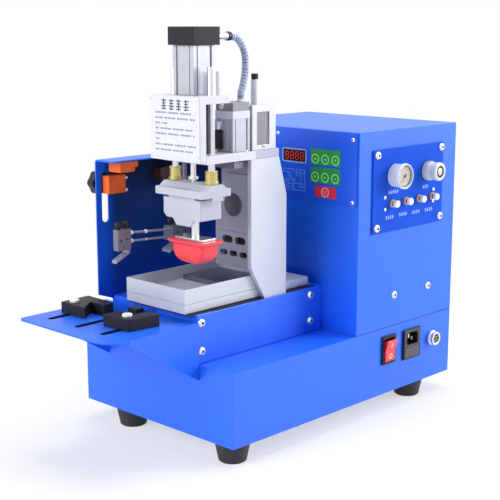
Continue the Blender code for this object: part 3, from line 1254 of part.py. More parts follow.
def scraper_frame():
    """Crossbar with its piston rod and the hanger rod."""
    shape = box(CROSSBAR_LEFT, CROSSBAR_RIGHT, CROSSBAR_FRONT, CROSSBAR_REAR,
                CROSSBAR_BOTTOM_Z, CROSSBAR_TOP)
    rod = SCRAPER_ROD_DIAMETER / 2
    piston = SCRAPER_BORE / 2 - PISTON_CLEARANCE
    piston_top = SCRAPER_BOTTOM + SCRAPER_PISTON_RISE
    piston_bottom = piston_top - SCRAPER_ROD_DIAMETER
    fuse(shape, turned("Z", SCRAPER_X, SCRAPER_Y, [
        (0, CROSSBAR_TOP - GAP), (rod, CROSSBAR_TOP - GAP), (rod, piston_bottom),
        (piston, piston_bottom), (piston, piston_top), (0, piston_top)], 16))
    rear_top = REAR_JAW_BOTTOM_Z + REAR_JAW_HEIGHT
    fuse(shape, cylinder("Z", HANGER_X, HANGER_Y, HANGER_DIAMETER / 2, rear_top + GAP,
                         CROSSBAR_BOTTOM_Z + GAP, 16))
    return part("scraper_frame", shape, STEEL, (SCRAPER_X, SCRAPER_Y, CROSSBAR_BOTTOM_Z))


def blade_outline(front, bottom):
    """A slanted blade that leans forward from under its block."""
    return [
        (front + BLADE_REACH, bottom), (front + BLADE_REACH + BLADE_THICKNESS, bottom),
        (front + BLADE_THICKNESS, bottom - BLADE_DROP), (front, bottom - BLADE_DROP),
    ]


def scraper_carrier():
    """Front and rear blocks with their slanted blades, thin rods between them and thumbscrews."""
    rear = box(REAR_JAW_LEFT, REAR_JAW_LEFT + REAR_JAW_WIDTH,
               REAR_JAW_FRONT, REAR_JAW_FRONT + REAR_JAW_LENGTH,
               REAR_JAW_BOTTOM_Z, REAR_JAW_BOTTOM_Z + REAR_JAW_HEIGHT)
    front = box(FRONT_JAW_LEFT, FRONT_JAW_LEFT + FRONT_JAW_WIDTH,
                FRONT_JAW_FRONT, FRONT_JAW_FRONT + FRONT_JAW_LENGTH,
                FRONT_JAW_BOTTOM_Z, FRONT_JAW_BOTTOM_Z + FRONT_JAW_HEIGHT)
    fuse(rear, prism(blade_outline(REAR_JAW_FRONT, REAR_JAW_BOTTOM_Z + GAP), "X",
                     REAR_JAW_LEFT + GAP, REAR_JAW_LEFT + REAR_JAW_WIDTH - GAP))
    fuse(front, prism(blade_outline(FRONT_JAW_FRONT - BLADE_REACH / 2, FRONT_JAW_BOTTOM_Z + GAP), "X",
                      FRONT_JAW_LEFT + GAP, FRONT_JAW_LEFT + FRONT_JAW_WIDTH - GAP))
    front_end = FRONT_JAW_FRONT + FRONT_JAW_LENGTH - RUNNING * 2
    rear_end = REAR_JAW_FRONT + RUNNING * 2
    thin = THIN_ROD_DIAMETER / 2
    rods = (
        (UPPER_THIN_ROD_FRONT_Z, UPPER_THIN_ROD_REAR_Z),
        (LOWER_THIN_ROD_FRONT_Z, LOWER_THIN_ROD_REAR_Z),
    )
    for front_z, rear_z in rods:
        fuse(rear, slanted_rod(THIN_ROD_X, front_end, front_z, rear_end, rear_z, thin))
    shape = fuse(rear, front)
    head = THUMBSCREW_DIAMETER / 2
    neck = THUMBSCREW_NECK_DIAMETER / 2
    front_top = FRONT_JAW_BOTTOM_Z + FRONT_JAW_HEIGHT
    rear_top = REAR_JAW_BOTTOM_Z + REAR_JAW_HEIGHT
    front_x = FRONT_JAW_LEFT + FRONT_JAW_WIDTH / 2
    rear_x = REAR_JAW_LEFT + THUMBSCREW_DIAMETER / 2
    places = [
        (front_x, FRONT_JAW_FRONT + head, front_top),
        (front_x, FRONT_JAW_FRONT + FRONT_JAW_LENGTH - head, front_top),
        (rear_x, REAR_JAW_FRONT + THUMBSCREW_DIAMETER, rear_top),
    ]
    for x, y, z in places:
        fuse(shape, turned("Z", x, y, [
            (0, z - GAP), (neck, z - GAP), (neck, z + THUMBSCREW_NECK), (head, z + THUMBSCREW_NECK),
            (head, z + THUMBSCREW_HEIGHT), (0, z + THUMBSCREW_HEIGHT)], PIN_SIDES))
    return part("scraper_carrier", shape, STEEL, (HANGER_X, HANGER_Y, rear_top))


def stop_bracket():
    """Bracket behind the scraper cylinder, with a recess in its right face."""
    shape = box(STOP_LEFT, COLUMN_RIGHT, STOP_FRONT, STOP_REAR, STOP_BOTTOM, STOP_TOP_Z)
    cut(shape, box(COLUMN_RIGHT - STOP_RECESS_DEPTH, COLUMN_RIGHT + OVERCUT,
                   STOP_FRONT + STOP_FRONT_WALL, STOP_REAR - STOP_REAR_WALL,
                   STOP_BOTTOM + STOP_BOTTOM_BAR, STOP_TOP_Z - STOP_TOP_BAR))
    cut(shape, cylinder("Z", STOP_SCREW_X, STOP_SCREW_Y, STOP_SCREW_DIAMETER / 2 + GAP,
                        STOP_TOP_Z - STOP_TOP_BAR - OVERCUT, STOP_TOP_Z + OVERCUT))
    return part("stop_bracket", shape, ALUMINIUM)


def stop_screw():
    """Threaded stop screw through the bracket's top, with a plain end."""
    outer = STOP_SCREW_DIAMETER / 2
    root = STOP_SCREW_ROOT_DIAMETER / 2
    end = STOP_SCREW_END_DIAMETER / 2
    profile = [(0, STOP_SCREW_BOTTOM_Z), (root, STOP_SCREW_BOTTOM_Z)]
    turns = int((STOP_SCREW_TOP_Z - STOP_SCREW_BOTTOM_Z) / STOP_SCREW_PITCH)
    pitch = (STOP_SCREW_TOP_Z - STOP_SCREW_BOTTOM_Z) / turns
    for turn in range(turns):
        low = STOP_SCREW_BOTTOM_Z + turn * pitch
        profile.append((outer, low + pitch / 2))
        profile.append((root, low + pitch))
    profile.append((end, STOP_SCREW_TOP_Z + GAP))
    profile.append((end, STOP_SCREW_TOP_Z + STOP_SCREW_END_HEIGHT))
    profile.append((0, STOP_SCREW_TOP_Z + STOP_SCREW_END_HEIGHT))
    return part("stop_screw", turned("Z", STOP_SCREW_X, STOP_SCREW_Y, profile, 14), STEEL,
                (STOP_SCREW_X, STOP_SCREW_Y, STOP_TOP_Z))


def smooth_route(points, first_way, last_way, count):
    """Points spread evenly along a curve through the given ones, with straight runs at its ends."""
    inner = points[1:-1]
    before = inner[1] - first_way * 2 * (inner[1] - inner[0]).length
    after = inner[-2] + last_way * 2 * (inner[-1] - inner[-2]).length
    padded = [before, *inner, after]
    fine = [points[0]]
    for index in range(1, len(padded) - 2):
        p0, p1, p2, p3 = padded[index - 1:index + 3]
        for step in range(HOSE_CURVE_STEPS):
            t = step / HOSE_CURVE_STEPS
            fine.append(0.5 * (2 * p1 + (p2 - p0) * t + (2 * p0 - 5 * p1 + 4 * p2 - p3) * t ** 2
                               + (3 * p1 - p0 - 3 * p2 + p3) * t ** 3))
    fine += points[-2:]
    lengths = [0.0]
    for a, b in zip(fine, fine[1:]):
        lengths.append(lengths[-1] + (b - a).length)
    spread = []
    for index in range(count):
        want = lengths[-1] * index / (count - 1)
        at = max(i for i in range(len(fine) - 1) if lengths[i] <= want)
        share = (want - lengths[at]) / (lengths[at + 1] - lengths[at])
        spread.append(fine[at].lerp(fine[at + 1], min(share, 1)))
    return spread


def tube(points, radii, bore):
    """A tube along points with a radius at each, as a mesh."""
    curve = bpy.data.curves.new("tube", "CURVE")
    curve.dimensions = "3D"
    curve.bevel_depth = bore
    curve.bevel_resolution = 2
    curve.use_fill_caps = True
    spline = curve.splines.new("POLY")
    spline.points.add(len(points) - 1)
    for item, point, radius in zip(spline.points, points, radii):
        item.co = (*point, 1)
        item.radius = radius / bore
    holder = bpy.data.objects.new("tube", curve)
    bpy.context.scene.collection.objects.link(holder)
    bpy.context.view_layer.update()
    evaluated = holder.evaluated_get(bpy.context.evaluated_depsgraph_get())
    mesh = bpy.data.meshes.new_from_object(evaluated)
    bpy.data.objects.remove(holder, do_unlink=True)
    bm = bmesh.new()
    bm.from_mesh(mesh)
    bmesh.ops.remove_doubles(bm, verts=bm.verts, dist=GAP / 100)
    return object_from(bm)


def hose_points(count):
    """The hose's middle line: straight out of the fitting, over, and straight down."""
    back = Vector((0, 1, 0))
    down = Vector((0, 0, -1))
    start = Vector((FITTING_X, FITTING_END + GAP, FITTING_Z))
    end = Vector((HOSE_END_X, HOSE_END_Y, SCRAPER_CAP_TOP + GAP))
    points = [start, start + back * HOSE_DIAMETER]
    points += [Vector(point) for point in HOSE_ROUTE]
    points += [end - down * HOSE_DIAMETER, end]
    return smooth_route(points, back, down, count)


def hose():
    """Ribbed hose with its bore."""
    count = 2 * HOSE_RIBS + 1
    outer = HOSE_DIAMETER / 2
    root = HOSE_ROOT_DIAMETER / 2
    radii = [outer if index % 2 == 0 else root for index in range(count)]
    shape = tube(hose_points(count), radii, outer)
    core = hose_points(HOSE_RIBS)
    core[0] = core[0] + (core[0] - core[1]).normalized() * OVERCUT
    core[-1] = core[-1] + (core[-1] - core[-2]).normalized() * OVERCUT
    cut(shape, tube(core, [HOSE_BORE / 2] * len(core), HOSE_BORE / 2))
    return part("hose", shape, HOSE_PLASTIC)


def key_places():
    """Each key's name, its places and its colour."""
    places = []
    for row, z in enumerate(KEY_ROWS, 1):
        for column, x in enumerate(KEY_COLUMNS, 1):
            places.append((f"key_{row}_{column}", x, z, GREEN_PLASTIC))
    places.append(("red_key", RED_KEY_X, RED_KEY_Z, RED_PLASTIC))
    return places


def control_panel():
    """Front panel with holes for the keys and a window for the display."""
    shape = box(PANEL_LEFT, PANEL_RIGHT, PANEL_FRONT, PANEL_REAR, PANEL_BOTTOM_Z, PANEL_TOP_Z)
    through = (PANEL_FRONT - OVERCUT, PANEL_REAR + OVERCUT)
    for _, x, z, _ in key_places():
        cut(shape, cylinder("Y", x, z, KEY_DIAMETER / 2 + GAP, *through, KEY_SIDES))
    cut(shape, box(DISPLAY_LEFT, DISPLAY_RIGHT, *through, DISPLAY_BOTTOM_Z, DISPLAY_TOP_Z))
    return part("control_panel", shape, DARK_BLUE)


def keys():
    """Round keys that stand a little proud of the panel."""
    rear = BOX_FRONT + SHEET
    front = PANEL_FRONT - KEY_PROUD
    for name, x, z, look in key_places():
        shape = cylinder("Y", x, z, KEY_DIAMETER / 2, front, rear, KEY_SIDES)
        part(name, shape, look, (x, front, z))


def control_board():
    """Board behind the panel with its posts, display and key switches, and the transformer."""
    wall = BOX_FRONT + SHEET
    front = wall + GAP + BOARD_POST
    bottom = PANEL_BOTTOM_Z
    top = PANEL_TOP_Z - PANEL_WINDOW_MARGIN
    left = PANEL_LEFT + PANEL_SCREW_INSET / 2
    right = PANEL_RIGHT - PANEL_WINDOW_MARGIN
    board = box(left, right, front, front + BOARD_DEPTH, bottom, top)
    post = BOARD_POST_DIAMETER / 2
    for x in (left + post, right - post):
        for z in (bottom + post, top - post):
            fuse(board, cylinder("Y", x, z, post, wall + GAP, front + GAP, PIN_SIDES))
    for _, x, z, _ in key_places():
        fuse(board, cylinder("Y", x, z, KEY_SWITCH_DIAMETER / 2, wall + KEY_TRAVEL + GAP,
                             front + GAP, PIN_SIDES))
    fuse(board, box(DISPLAY_LEFT + GAP, DISPLAY_RIGHT - GAP, PANEL_REAR - PANEL_THICKNESS, front + GAP,
                    DISPLAY_BOTTOM_Z + GAP, DISPLAY_TOP_Z - GAP))
    rear = front + BOARD_DEPTH
    middle = (bottom + top) / 2
    fuse(board, box(left + TRANSFORMER_INSET, left + TRANSFORMER_INSET + TRANSFORMER_SIZE,
                    rear - BOARD_DEPTH / 2, rear + TRANSFORMER_DEPTH,
                    middle - TRANSFORMER_SIZE / 2, middle + TRANSFORMER_SIZE / 2))
    return part("control_board", board, GREEN_BOARD)


def valve_ys():
    """The four flow valves' places along the machine."""
    return [VALVE_FIRST_Y + VALVE_PITCH * index for index in range(VALVE_COUNT)]


def pneumatic_panel():
    """Plate with holes for the gauge, the regulator and the flow valves."""
    shape = box(AIR_PANEL_INNER, AIR_PANEL_OUTER, AIR_PANEL_FRONT, AIR_PANEL_REAR,
                AIR_PANEL_BOTTOM_Z, AIR_PANEL_TOP_Z)
    through = (AIR_PANEL_INNER - OVERCUT, AIR_PANEL_OUTER + OVERCUT)
    cut(shape, cylinder("X", GAUGE_Y, GAUGE_Z, GAUGE_STEM_DIAMETER / 2 + GAP, *through))
    cut(shape, cylinder("X", REGULATOR_Y, REGULATOR_Z, REGULATOR_STEM_DIAMETER / 2 + RUNNING, *through))
    for y in valve_ys():
        cut(shape, cylinder("X", y, VALVE_Z, VALVE_DIAMETER / 2 + GAP, *through, 16))
    return part("pneumatic_panel", shape, BLUE_PAINT)


def pressure_gauge():
    """Round gauge with a rim, a sunk face and its stem through the panel."""
    seat = AIR_PANEL_OUTER + GAP
    face = seat + GAUGE_DEPTH
    outer = GAUGE_DIAMETER / 2
    stem = GAUGE_STEM_DIAMETER / 2
    inner = outer - GAUGE_RIM
    profile = [
        (0, seat - GAUGE_STEM_LENGTH), (stem, seat - GAUGE_STEM_LENGTH), (stem, seat), (outer, seat),
        (outer, face - GAUGE_RIM / 2), (outer - GAUGE_RIM / 2, face), (inner, face),
        (inner, face - GAUGE_RECESS), (0, face - GAUGE_RECESS),
    ]
    return part("pressure_gauge", turned("X", GAUGE_Y, GAUGE_Z, profile, FINE_SIDES), WHITE_METAL)


def regulator_knob():
    """Waisted knob of the pressure regulator, with its stem through the panel."""
    seat = AIR_PANEL_OUTER + GAP
    face = seat + REGULATOR_DEPTH
    outer = REGULATOR_DIAMETER / 2
    waist = outer * REGULATOR_WAIST_SHARE
    stem = REGULATOR_STEM_DIAMETER / 2
    profile = [
        (0, seat - REGULATOR_STEM_LENGTH), (stem, seat - REGULATOR_STEM_LENGTH), (stem, seat),
        (outer, seat), (outer, seat + REGULATOR_DEPTH / 3), (waist, seat + REGULATOR_DEPTH / 2),
        (waist, seat + REGULATOR_DEPTH * 2 / 3), (outer, face - GAUGE_RIM), (outer - GAUGE_RIM / 2, face),
        (0, face),
    ]
    return part("regulator_knob", turned("X", REGULATOR_Y, REGULATOR_Z, profile, ROUND_SIDES),
                WHITE_METAL, (seat, REGULATOR_Y, REGULATOR_Z))


def air_manifold():
    """Bar behind the panel with four flow valves through it, four solenoid valves and the regulator."""
    outer = VALVE_DIAMETER / 2
    bore = VALVE_NECK_DIAMETER / 2 + GAP
    front = AIR_PANEL_OUTER + VALVE_PROUD
    rear = AIR_PANEL_INNER - SHEET - VALVE_INSIDE
    floor = front - VALVE_STEM_LENGTH - GAP
    half = MANIFOLD_HEIGHT / 2
    ys = valve_ys()
    shape = box(rear - MANIFOLD_DEPTH, rear, ys[0] - half, ys[-1] + half, VALVE_Z - half, VALVE_Z + half)
    for y in ys:
        fuse(shape, turned("X", y, VALVE_Z, [
            (0, rear - GAP * 3), (outer, rear - GAP * 3), (outer, front), (bore, front), (bore, floor),
            (0, floor)], VALVE_SIDES))
        fuse(shape, box(rear - MANIFOLD_DEPTH - SOLENOID_LENGTH, rear - MANIFOLD_DEPTH + GAP * 3,
                        y - SOLENOID_WIDTH / 2, y + SOLENOID_WIDTH / 2,
                        VALVE_Z - SOLENOID_WIDTH / 2, VALVE_Z + half - RUNNING))
    side = REGULATOR_BODY_SIZE / 2
    right = AIR_PANEL_OUTER + GAP - REGULATOR_STEM_LENGTH - GAP
    fuse(shape, box(right - REGULATOR_BODY_SIZE, right, REGULATOR_Y - side, REGULATOR_Y + side,
                    VALVE_Z + half - MANIFOLD_DEPTH / 2, REGULATOR_Z + side))
    return part("air_manifold", shape, BRASS)


def valve_knobs():
    """Small knobs of the flow valves, each on a thin neck."""
    outer = VALVE_KNOB_DIAMETER / 2
    neck = VALVE_NECK_DIAMETER / 2
    front = AIR_PANEL_OUTER + VALVE_PROUD
    knob = front + VALVE_NECK_LENGTH
    end = knob + VALVE_KNOB_LENGTH
    for index, y in enumerate(valve_ys(), 1):
        shape = turned("X", y, VALVE_Z, [
            (0, front - VALVE_STEM_LENGTH), (neck, front - VALVE_STEM_LENGTH), (neck, knob),
            (outer, knob), (outer, end), (0, end)], VALVE_SIDES)
        part(f"valve_knob_{index}", shape, STEEL, (front, y, VALVE_Z))


def power_inlet():
    """Mains inlet: flange, body behind the wall, socket with three pins."""
    seat = BASE_RIGHT + GAP
    face = seat + INLET_FLANGE
    flange = body_outline(INLET_Y, INLET_Z, INLET_WIDTH, INLET_HEIGHT, 0)
    body = body_outline(INLET_Y, INLET_Z, INLET_WIDTH, INLET_HEIGHT, INLET_BODY_MARGIN)
    shape = prism(flange, "X", seat, face)
    fuse(shape, prism(body, "X", seat - INLET_BODY_DEPTH, seat + GAP))
    middle = INLET_Z + INLET_SOCKET_RISE
    half_width = INLET_SOCKET_WIDTH / 2
    half_height = INLET_SOCKET_HEIGHT / 2
    chamfer = INLET_SOCKET_CHAMFER
    recess = [
        (INLET_Y - half_width, middle - half_height), (INLET_Y + half_width, middle - half_height),
        (INLET_Y + half_width, middle + half_height - chamfer),
        (INLET_Y + half_width - chamfer, middle + half_height),
        (INLET_Y - half_width + chamfer, middle + half_height),
        (INLET_Y - half_width, middle + half_height - chamfer),
    ]
    floor = face - INLET_SOCKET_DEPTH
    cut(shape, prism(recess, "X", floor, face + OVERCUT))
    for index, rise in ((-1, 0), (0, 1), (1, 0)):
        y = INLET_Y + index * INLET_PIN_SPREAD
        z = middle - half_height / 3 + rise * INLET_PIN_HEIGHT
        fuse(shape, box(floor - GAP, floor + INLET_PIN_LENGTH, y - INLET_PIN_WIDTH / 2,
                        y + INLET_PIN_WIDTH / 2, z - INLET_PIN_HEIGHT / 2, z + INLET_PIN_HEIGHT / 2))
    return part("power_inlet", shape, BLACK_PLASTIC)


def switch_bezel():
    """Frame and housing of the rocker switch."""
    seat = BASE_RIGHT + GAP
    face = seat + SWITCH_FLANGE
    shape = prism(body_outline(SWITCH_Y, SWITCH_Z, SWITCH_WIDTH, SWITCH_HEIGHT, 0), "X", seat, face)
    body = body_outline(SWITCH_Y, SWITCH_Z, SWITCH_WIDTH, SWITCH_HEIGHT, SWITCH_BODY_MARGIN)
    fuse(shape, prism(body, "X", seat - SWITCH_BODY_DEPTH, seat + GAP))
    pocket = body_outline(SWITCH_Y, SWITCH_Z, SWITCH_POCKET_WIDTH, SWITCH_POCKET_HEIGHT, 0)
    cut(shape, prism(pocket, "X", face - SWITCH_POCKET_DEPTH, face + OVERCUT))
    return part("switch_bezel", shape, BLACK_PLASTIC)


def rocker():
    """Red rocker, standing with its upper half out."""
    half = ROCKER_HEIGHT / 2
    bulge = half * math.tan(ROCKER_HALF_ANGLE)
    pivot_x = BASE_RIGHT - ROCKER_PIVOT_DEPTH + SWITCH_FLANGE
    flat = [
        (-ROCKER_BACK, -half / 2), (ROCKER_FACE - bulge, -half), (ROCKER_FACE + bulge, -half),
        (ROCKER_FACE, 0), (ROCKER_FACE + bulge, half), (ROCKER_FACE - bulge, half),
        (-ROCKER_BACK, half / 2),
    ]
    lean = ROCKER_HALF_ANGLE
    outline = []
    for x, z in flat:
        outline.append((pivot_x + x * math.cos(lean) + z * math.sin(lean),
                        SWITCH_Z - x * math.sin(lean) + z * math.cos(lean)))
    width = SWITCH_POCKET_WIDTH / 2 - GAP
    return part("rocker", prism(outline, "Y", SWITCH_Y - width, SWITCH_Y + width), RED_PLASTIC,
                (pivot_x, SWITCH_Y, SWITCH_Z))


def foot_switch_socket():
    """Round metal socket for the foot switch."""
    seat = BASE_RIGHT + GAP
    face = seat + SOCKET_PROUD
    outer = SOCKET_DIAMETER / 2
    barrel = SOCKET_BARREL_DIAMETER / 2
    recess = SOCKET_RECESS_DIAMETER / 2
    floor = face - SOCKET_RECESS_DEPTH
    profile = [
        (0, seat - SOCKET_INSIDE), (barrel, seat - SOCKET_INSIDE), (barrel, seat), (outer, seat),
        (outer, face - GAUGE_RIM / 2), (outer - GAUGE_RIM / 2, face), (recess, face), (recess, floor),
        (0, floor),
    ]
    return part("foot_switch_socket", turned("X", SOCKET_Y, SOCKET_Z, profile), STEEL)


base_shell()
bottom_cover()
feet()
platform()
control_box()
work_table()
clamps()
guard()
slot_block()
star_knob()
slide_rail()
carriage_plate()
drive_cylinder()
tray_base()
ink_tray()
steel_plate()
column_side_plate()
column_channel()
arm_plate()
head_bracket()
main_cylinder()
cylinder_cap()
guide_rods()
piston_rod()
holder_top()
holder_body()
pad_stem()
printing_pad()
scraper_cylinder()
scraper_frame()
scraper_carrier()
stop_bracket()
stop_screw()
hose()
control_panel()
keys()
control_board()
pneumatic_panel()
pressure_gauge()
regulator_knob()
air_manifold()
valve_knobs()
power_inlet()
switch_bezel()
rocker()
foot_switch_socket()

# The whole machine's box, and the move that puts the origin under its middle
REACH_RIGHT = AIR_PANEL_OUTER + GAP + REGULATOR_DEPTH
SHIFT = Vector((
    -(BASE_LEFT + REACH_RIGHT) / 2,
    -(TABLE_FRONT + BASE_LENGTH) / 2,
    FOOT_HEIGHT,
))
for piece in bpy.data.objects:
    piece.location = piece.location + SHIFT
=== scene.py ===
"""Finishes, trim, light, floor and camera of the pad printing machine.

Shapes are written in millimetres in the machine's own frame: X = 0 on the middle of its base, Y = 0 on
the base's front face and Z = 0 on its underside. finished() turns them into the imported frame's metres.
"""
import math

import bmesh
import bpy
from bpy.props import FloatProperty, FloatVectorProperty, IntProperty, PointerProperty
from mathutils import Matrix, Vector
from mathutils.kdtree import KDTree


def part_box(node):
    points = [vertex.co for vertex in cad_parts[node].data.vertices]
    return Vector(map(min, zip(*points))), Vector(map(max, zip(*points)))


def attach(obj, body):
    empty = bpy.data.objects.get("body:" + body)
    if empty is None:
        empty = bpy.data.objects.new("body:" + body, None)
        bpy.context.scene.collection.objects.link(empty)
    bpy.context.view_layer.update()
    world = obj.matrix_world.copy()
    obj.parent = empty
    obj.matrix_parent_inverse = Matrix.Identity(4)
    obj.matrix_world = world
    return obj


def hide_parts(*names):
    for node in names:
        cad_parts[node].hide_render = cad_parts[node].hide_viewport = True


bl_info = {
    "name": "Pad printing machine",
    "version": (1, 0, 0),
    "blender": (4, 5, 0),
    "location": "3D View > Sidebar > Pad printer",
    "description": "Dresses the pad printing machine's solids and sets its stage",
    "category": "Object",
}

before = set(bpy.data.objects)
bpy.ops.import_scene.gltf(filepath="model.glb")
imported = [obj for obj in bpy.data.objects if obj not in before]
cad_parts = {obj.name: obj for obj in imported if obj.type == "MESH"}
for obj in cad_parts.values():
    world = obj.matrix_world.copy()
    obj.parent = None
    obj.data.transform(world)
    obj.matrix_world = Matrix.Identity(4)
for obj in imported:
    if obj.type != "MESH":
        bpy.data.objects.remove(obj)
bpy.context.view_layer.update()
SHELL_LOW, SHELL_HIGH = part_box("base_shell")
HERE = Vector(((SHELL_LOW.x + SHELL_HIGH.x) / 2, SHELL_LOW.y, SHELL_LOW.z))
MM = 0.001
MERGE = 0.0004
TURNS = {
    "X": Matrix.Rotation(math.pi / 2, 4, "Y"),
    "Y": Matrix.Rotation(-math.pi / 2, 4, "X"),
    "Z": Matrix.Identity(4),
}

# Faces and middles that several pieces share, in millimetres
GUARD_FACE = -67.0
LABEL_FACE = 1.7
PANEL_FACE = 194.2
AIR_FACE = 119.9
DIAL_SEAT = 120.2
ARM_TOP = 294.02
CAP_TOP = 422.2
SLOT_PLACES = (-55.0, -10.0, 31.0)
SLOT_FRONT, SLOT_REAR = -97.0, -33.0
SLOTS_LEFT, SLOTS_RIGHT, TABLE_UNDER = -62.0, 40.0, 115.0
ROD_PLACES = {"left": 5.8, "right": 60.2}
HEAD_Y = 28.0
PAD_X, PAD_TOP = 35.0, 203.8
STOP_SCREW = (50.0, 102.0)
FOOT_SOCKET = (341.0, 50.0)

# Places of like pieces, in millimetres
HOUSING_SCREWS = ((67.5, 4.7, 123.5), (67.5, 4.7, 93.4), (67.5, 174.7, 123.5), (67.5, 174.7, 93.4))
BOX_SCREWS = ((118.1, 264.0, 116.7), (118.1, 330.3, 116.7))
AIR_PANEL_SCREWS = (
    (AIR_FACE, 225.9, 281.6), (AIR_FACE, 347.4, 281.8), (AIR_FACE, 347.8, 199.7), (AIR_FACE, 226.2, 199.6),
)
BRACKET_SCREWS = ((240.3, 233.0), (240.7, 219.5), (333.2, 232.8), (332.9, 219.1))
PANEL_SCREWS = ((-0.4, 300.6), (110.6, 300.5), (110.6, 231.2), (-0.4, 231.2))
CAP_SCREWS = ((19.4, 14.4), (19.4, 44.2), (49.2, 14.4), (49.2, 44.2))
ARM_SCREWS = ((8.0, 22.0), (8.0, 78.0), (60.0, 78.0), (8.0, 119.0), (58.0, 119.0))
KEYS = {
    "key_1_1": (56.7, 275.9), "key_1_2": (71.3, 275.9), "key_1_3": (86.0, 275.9),
    "key_2_1": (56.7, 255.5), "key_2_2": (71.3, 255.5), "key_2_3": (86.0, 255.5),
}
RED_KEY = (71.7, 239.0)
# The sign on each key, as strokes from the key's middle
SIGNS = {
    "key_1_1": [((-1.6, -1.0), (0.0, 1.4)), ((0.0, 1.4), (1.6, -1.0)), ((-1.6, -1.0), (1.6, -1.0))],
    "key_1_2": [((-1.8, 0.0), (1.8, 0.0)), ((0.4, 1.4), (1.8, 0.0)), ((0.4, -1.4), (1.8, 0.0))],
    "key_1_3": [((-1.8, 0.0), (1.8, 0.0)), ((0.0, -1.8), (0.0, 1.8))],
    "key_2_1": [((-1.6, 1.0), (0.0, -1.4)), ((0.0, -1.4), (1.6, 1.0)), ((-1.6, 1.0), (1.6, 1.0))],
    "key_2_2": [((-1.8, 0.0), (1.8, 0.0)), ((-0.4, 1.4), (-1.8, 0.0)), ((-0.4, -1.4), (-1.8, 0.0))],
    "key_2_3": [((-1.8, 0.0), (1.8, 0.0))],
    "red_key": [((-1.5, 1.5), (1.5, 1.5)), ((-1.5, -1.5), (1.5, -1.5)), ((-1.5, 1.5), (-1.5, -1.5)),
                ((1.5, 1.5), (1.5, -1.5))],
}
# The lines of the drawing below the display
DRAWING = (
    ((8, 261), (25, 261)), ((25, 261), (25, 257)), ((28, 261), (41, 261)), ((8, 257.5), (18, 257.5)),
    ((8, 261), (8, 257.5)), ((14, 257.5), (19, 249)), ((18, 257.5), (23, 249)), ((28, 257), (41, 257)),
    ((34, 261), (34, 257)), ((28, 261), (28, 254)), ((41, 261), (41, 237.5)), ((35, 254), (35, 242)),
    ((28, 254), (35, 254)), ((19, 249), (28, 249)), ((24, 245), (41, 245)), ((20, 237.5), (41, 237.5)),
    ((24, 249), (24, 237.5)), ((15, 240.5), (24, 240.5)), ((11, 249), (18, 249)), ((11, 249), (13, 238)),
    ((13, 238), (17, 238)), ((17, 244), (24, 244)), ((31, 241.5), (41, 241.5)),
)
VALVES = {"valve_knob_1": 254.4, "valve_knob_2": 279.9, "valve_knob_3": 305.4, "valve_knob_4": 330.9}
VALVE_SHIFT, VALVE_Z = -1.2, 225.3
# Words at the valves, as rows of dashes: Y of the first, Z of the row, and how many
VALVE_WORDS = ((242.8, 209.6, 4), (268.0, 210.5, 4), (293.2, 210.1, 4), (318.4, 209.9, 4), (246.8, 238.2, 5),
               (312.4, 237.8, 3))
# Two corners of each plain block, then the rounding of its corners and the axis that they run along
BLOCKS = {
    "slot_block_face": ((-67.5, -11.6, 245.6), (-56.7, 12.0, 265.0)),
    "guard_rear_block": ((-67.4, 60.0, 254.0), (-54.0, 80.0, 268.0)),
    "label_plate": ((-4.2, LABEL_FACE, 291.8), (70.2, LABEL_FACE + 0.8, 353.4), 2.6, "Y"),
    # Painted shade: a dark strip in the head's seam
    "head_seam_shade": ((60.8, 17.5, 296.0), (64.2, 20.6, 346.8)),
    "display_window": ((7.95, 193.95, 270.45), (41.45, 194.15, 283.75)),
    "table_stop_block": ((-13.0, -26.0, 124.8), (0.7, -15.0, 131.5), 0.8, "Z"),
    # Painted shade: a dark strip in the column's slot
    "column_slot_shade": ((10.0, 95.3, 171.0), (57.0, 96.3, 201.0), 1.5, "Y"),
    "column_block": ((23.2, 86.4, 257.2), (57.6, 89.9, 267.0)),
    "column_seam": ((7.8, 89.82, 202.6), (58.0, 89.96, 203.2)),
    # Painted shade: a grey plate in the stop bracket's opening
    "bracket_recess_shade": ((61.6, 90.6, 298.0), (62.6, 109.6, 335.6)),
    "cap_lower": ((36.4, 56.4, 328.4), (62.6, 82.6, 336.6), 1.0, "Z"),
    "cap_upper": ((36.8, 56.8, 336.6), (62.2, 82.2, 345.3), 1.0, "Z"),
    "position_switch": ((39.3, 52.6, 296.6), (47.4, 56.7, 317.0), 0.6),
    # Painted shade: a black strip in the gap under the tray
    "tray_tape": ((-33.4, -8.4, 131.85), (63.2, 181.8, 132.05)),
}
HOSE_ROUTE = (
    (45.0, 71.1, 412.0), (45.0, 76.6, 411.2), (46.0, 85.0, 405.0), (47.5, 89.2, 394.6), (49.0, 89.0, 382.0),
    (50.8, 85.6, 370.0), (52.4, 80.6, 359.0), (53.0, 78.0, 353.1), (53.0, 78.0, 345.6),
)
# Rings of the pad below its top: width and depth as shares of the top's, and height
PAD_RINGS = (
    (1.0, 1.0, 203.3), (1.0, 1.0, 201.2), (0.985, 0.98, 200.4), (0.90, 0.88, 199.9),
    (0.845, 0.79, 199.4), (0.83, 0.77, 197.0), (0.82, 0.765, 193.0), (0.80, 0.75, 189.0),
    (0.74, 0.71, 185.2), (0.62, 0.64, 182.0), (0.44, 0.50, 179.7), (0.22, 0.30, 178.4), (0.10, 0.14, 178.2),
)


def linear(code):
    """An sRGB hex colour as linear red, green and blue."""
    shares = [int(code[place:place + 2], 16) / 255 for place in (1, 3, 5)]
    return tuple(v / 12.92 if v <= 0.04045 else ((v + 0.055) / 1.055) ** 2.4 for v in shares)


def colour_prop(name, text, code):
    """A colour that the user can pick, with its default."""
    return FloatVectorProperty(name=name, description=text, subtype="COLOR", size=3, min=0, max=1,
                               default=linear(code))


def length_prop(name, text, millimetres):
    """A length that the user can set, in metres, with its default given in millimetres."""
    return FloatProperty(name=name, description=text, subtype="DISTANCE", unit="LENGTH", min=0, max=1,
                         precision=4, default=millimetres * MM)


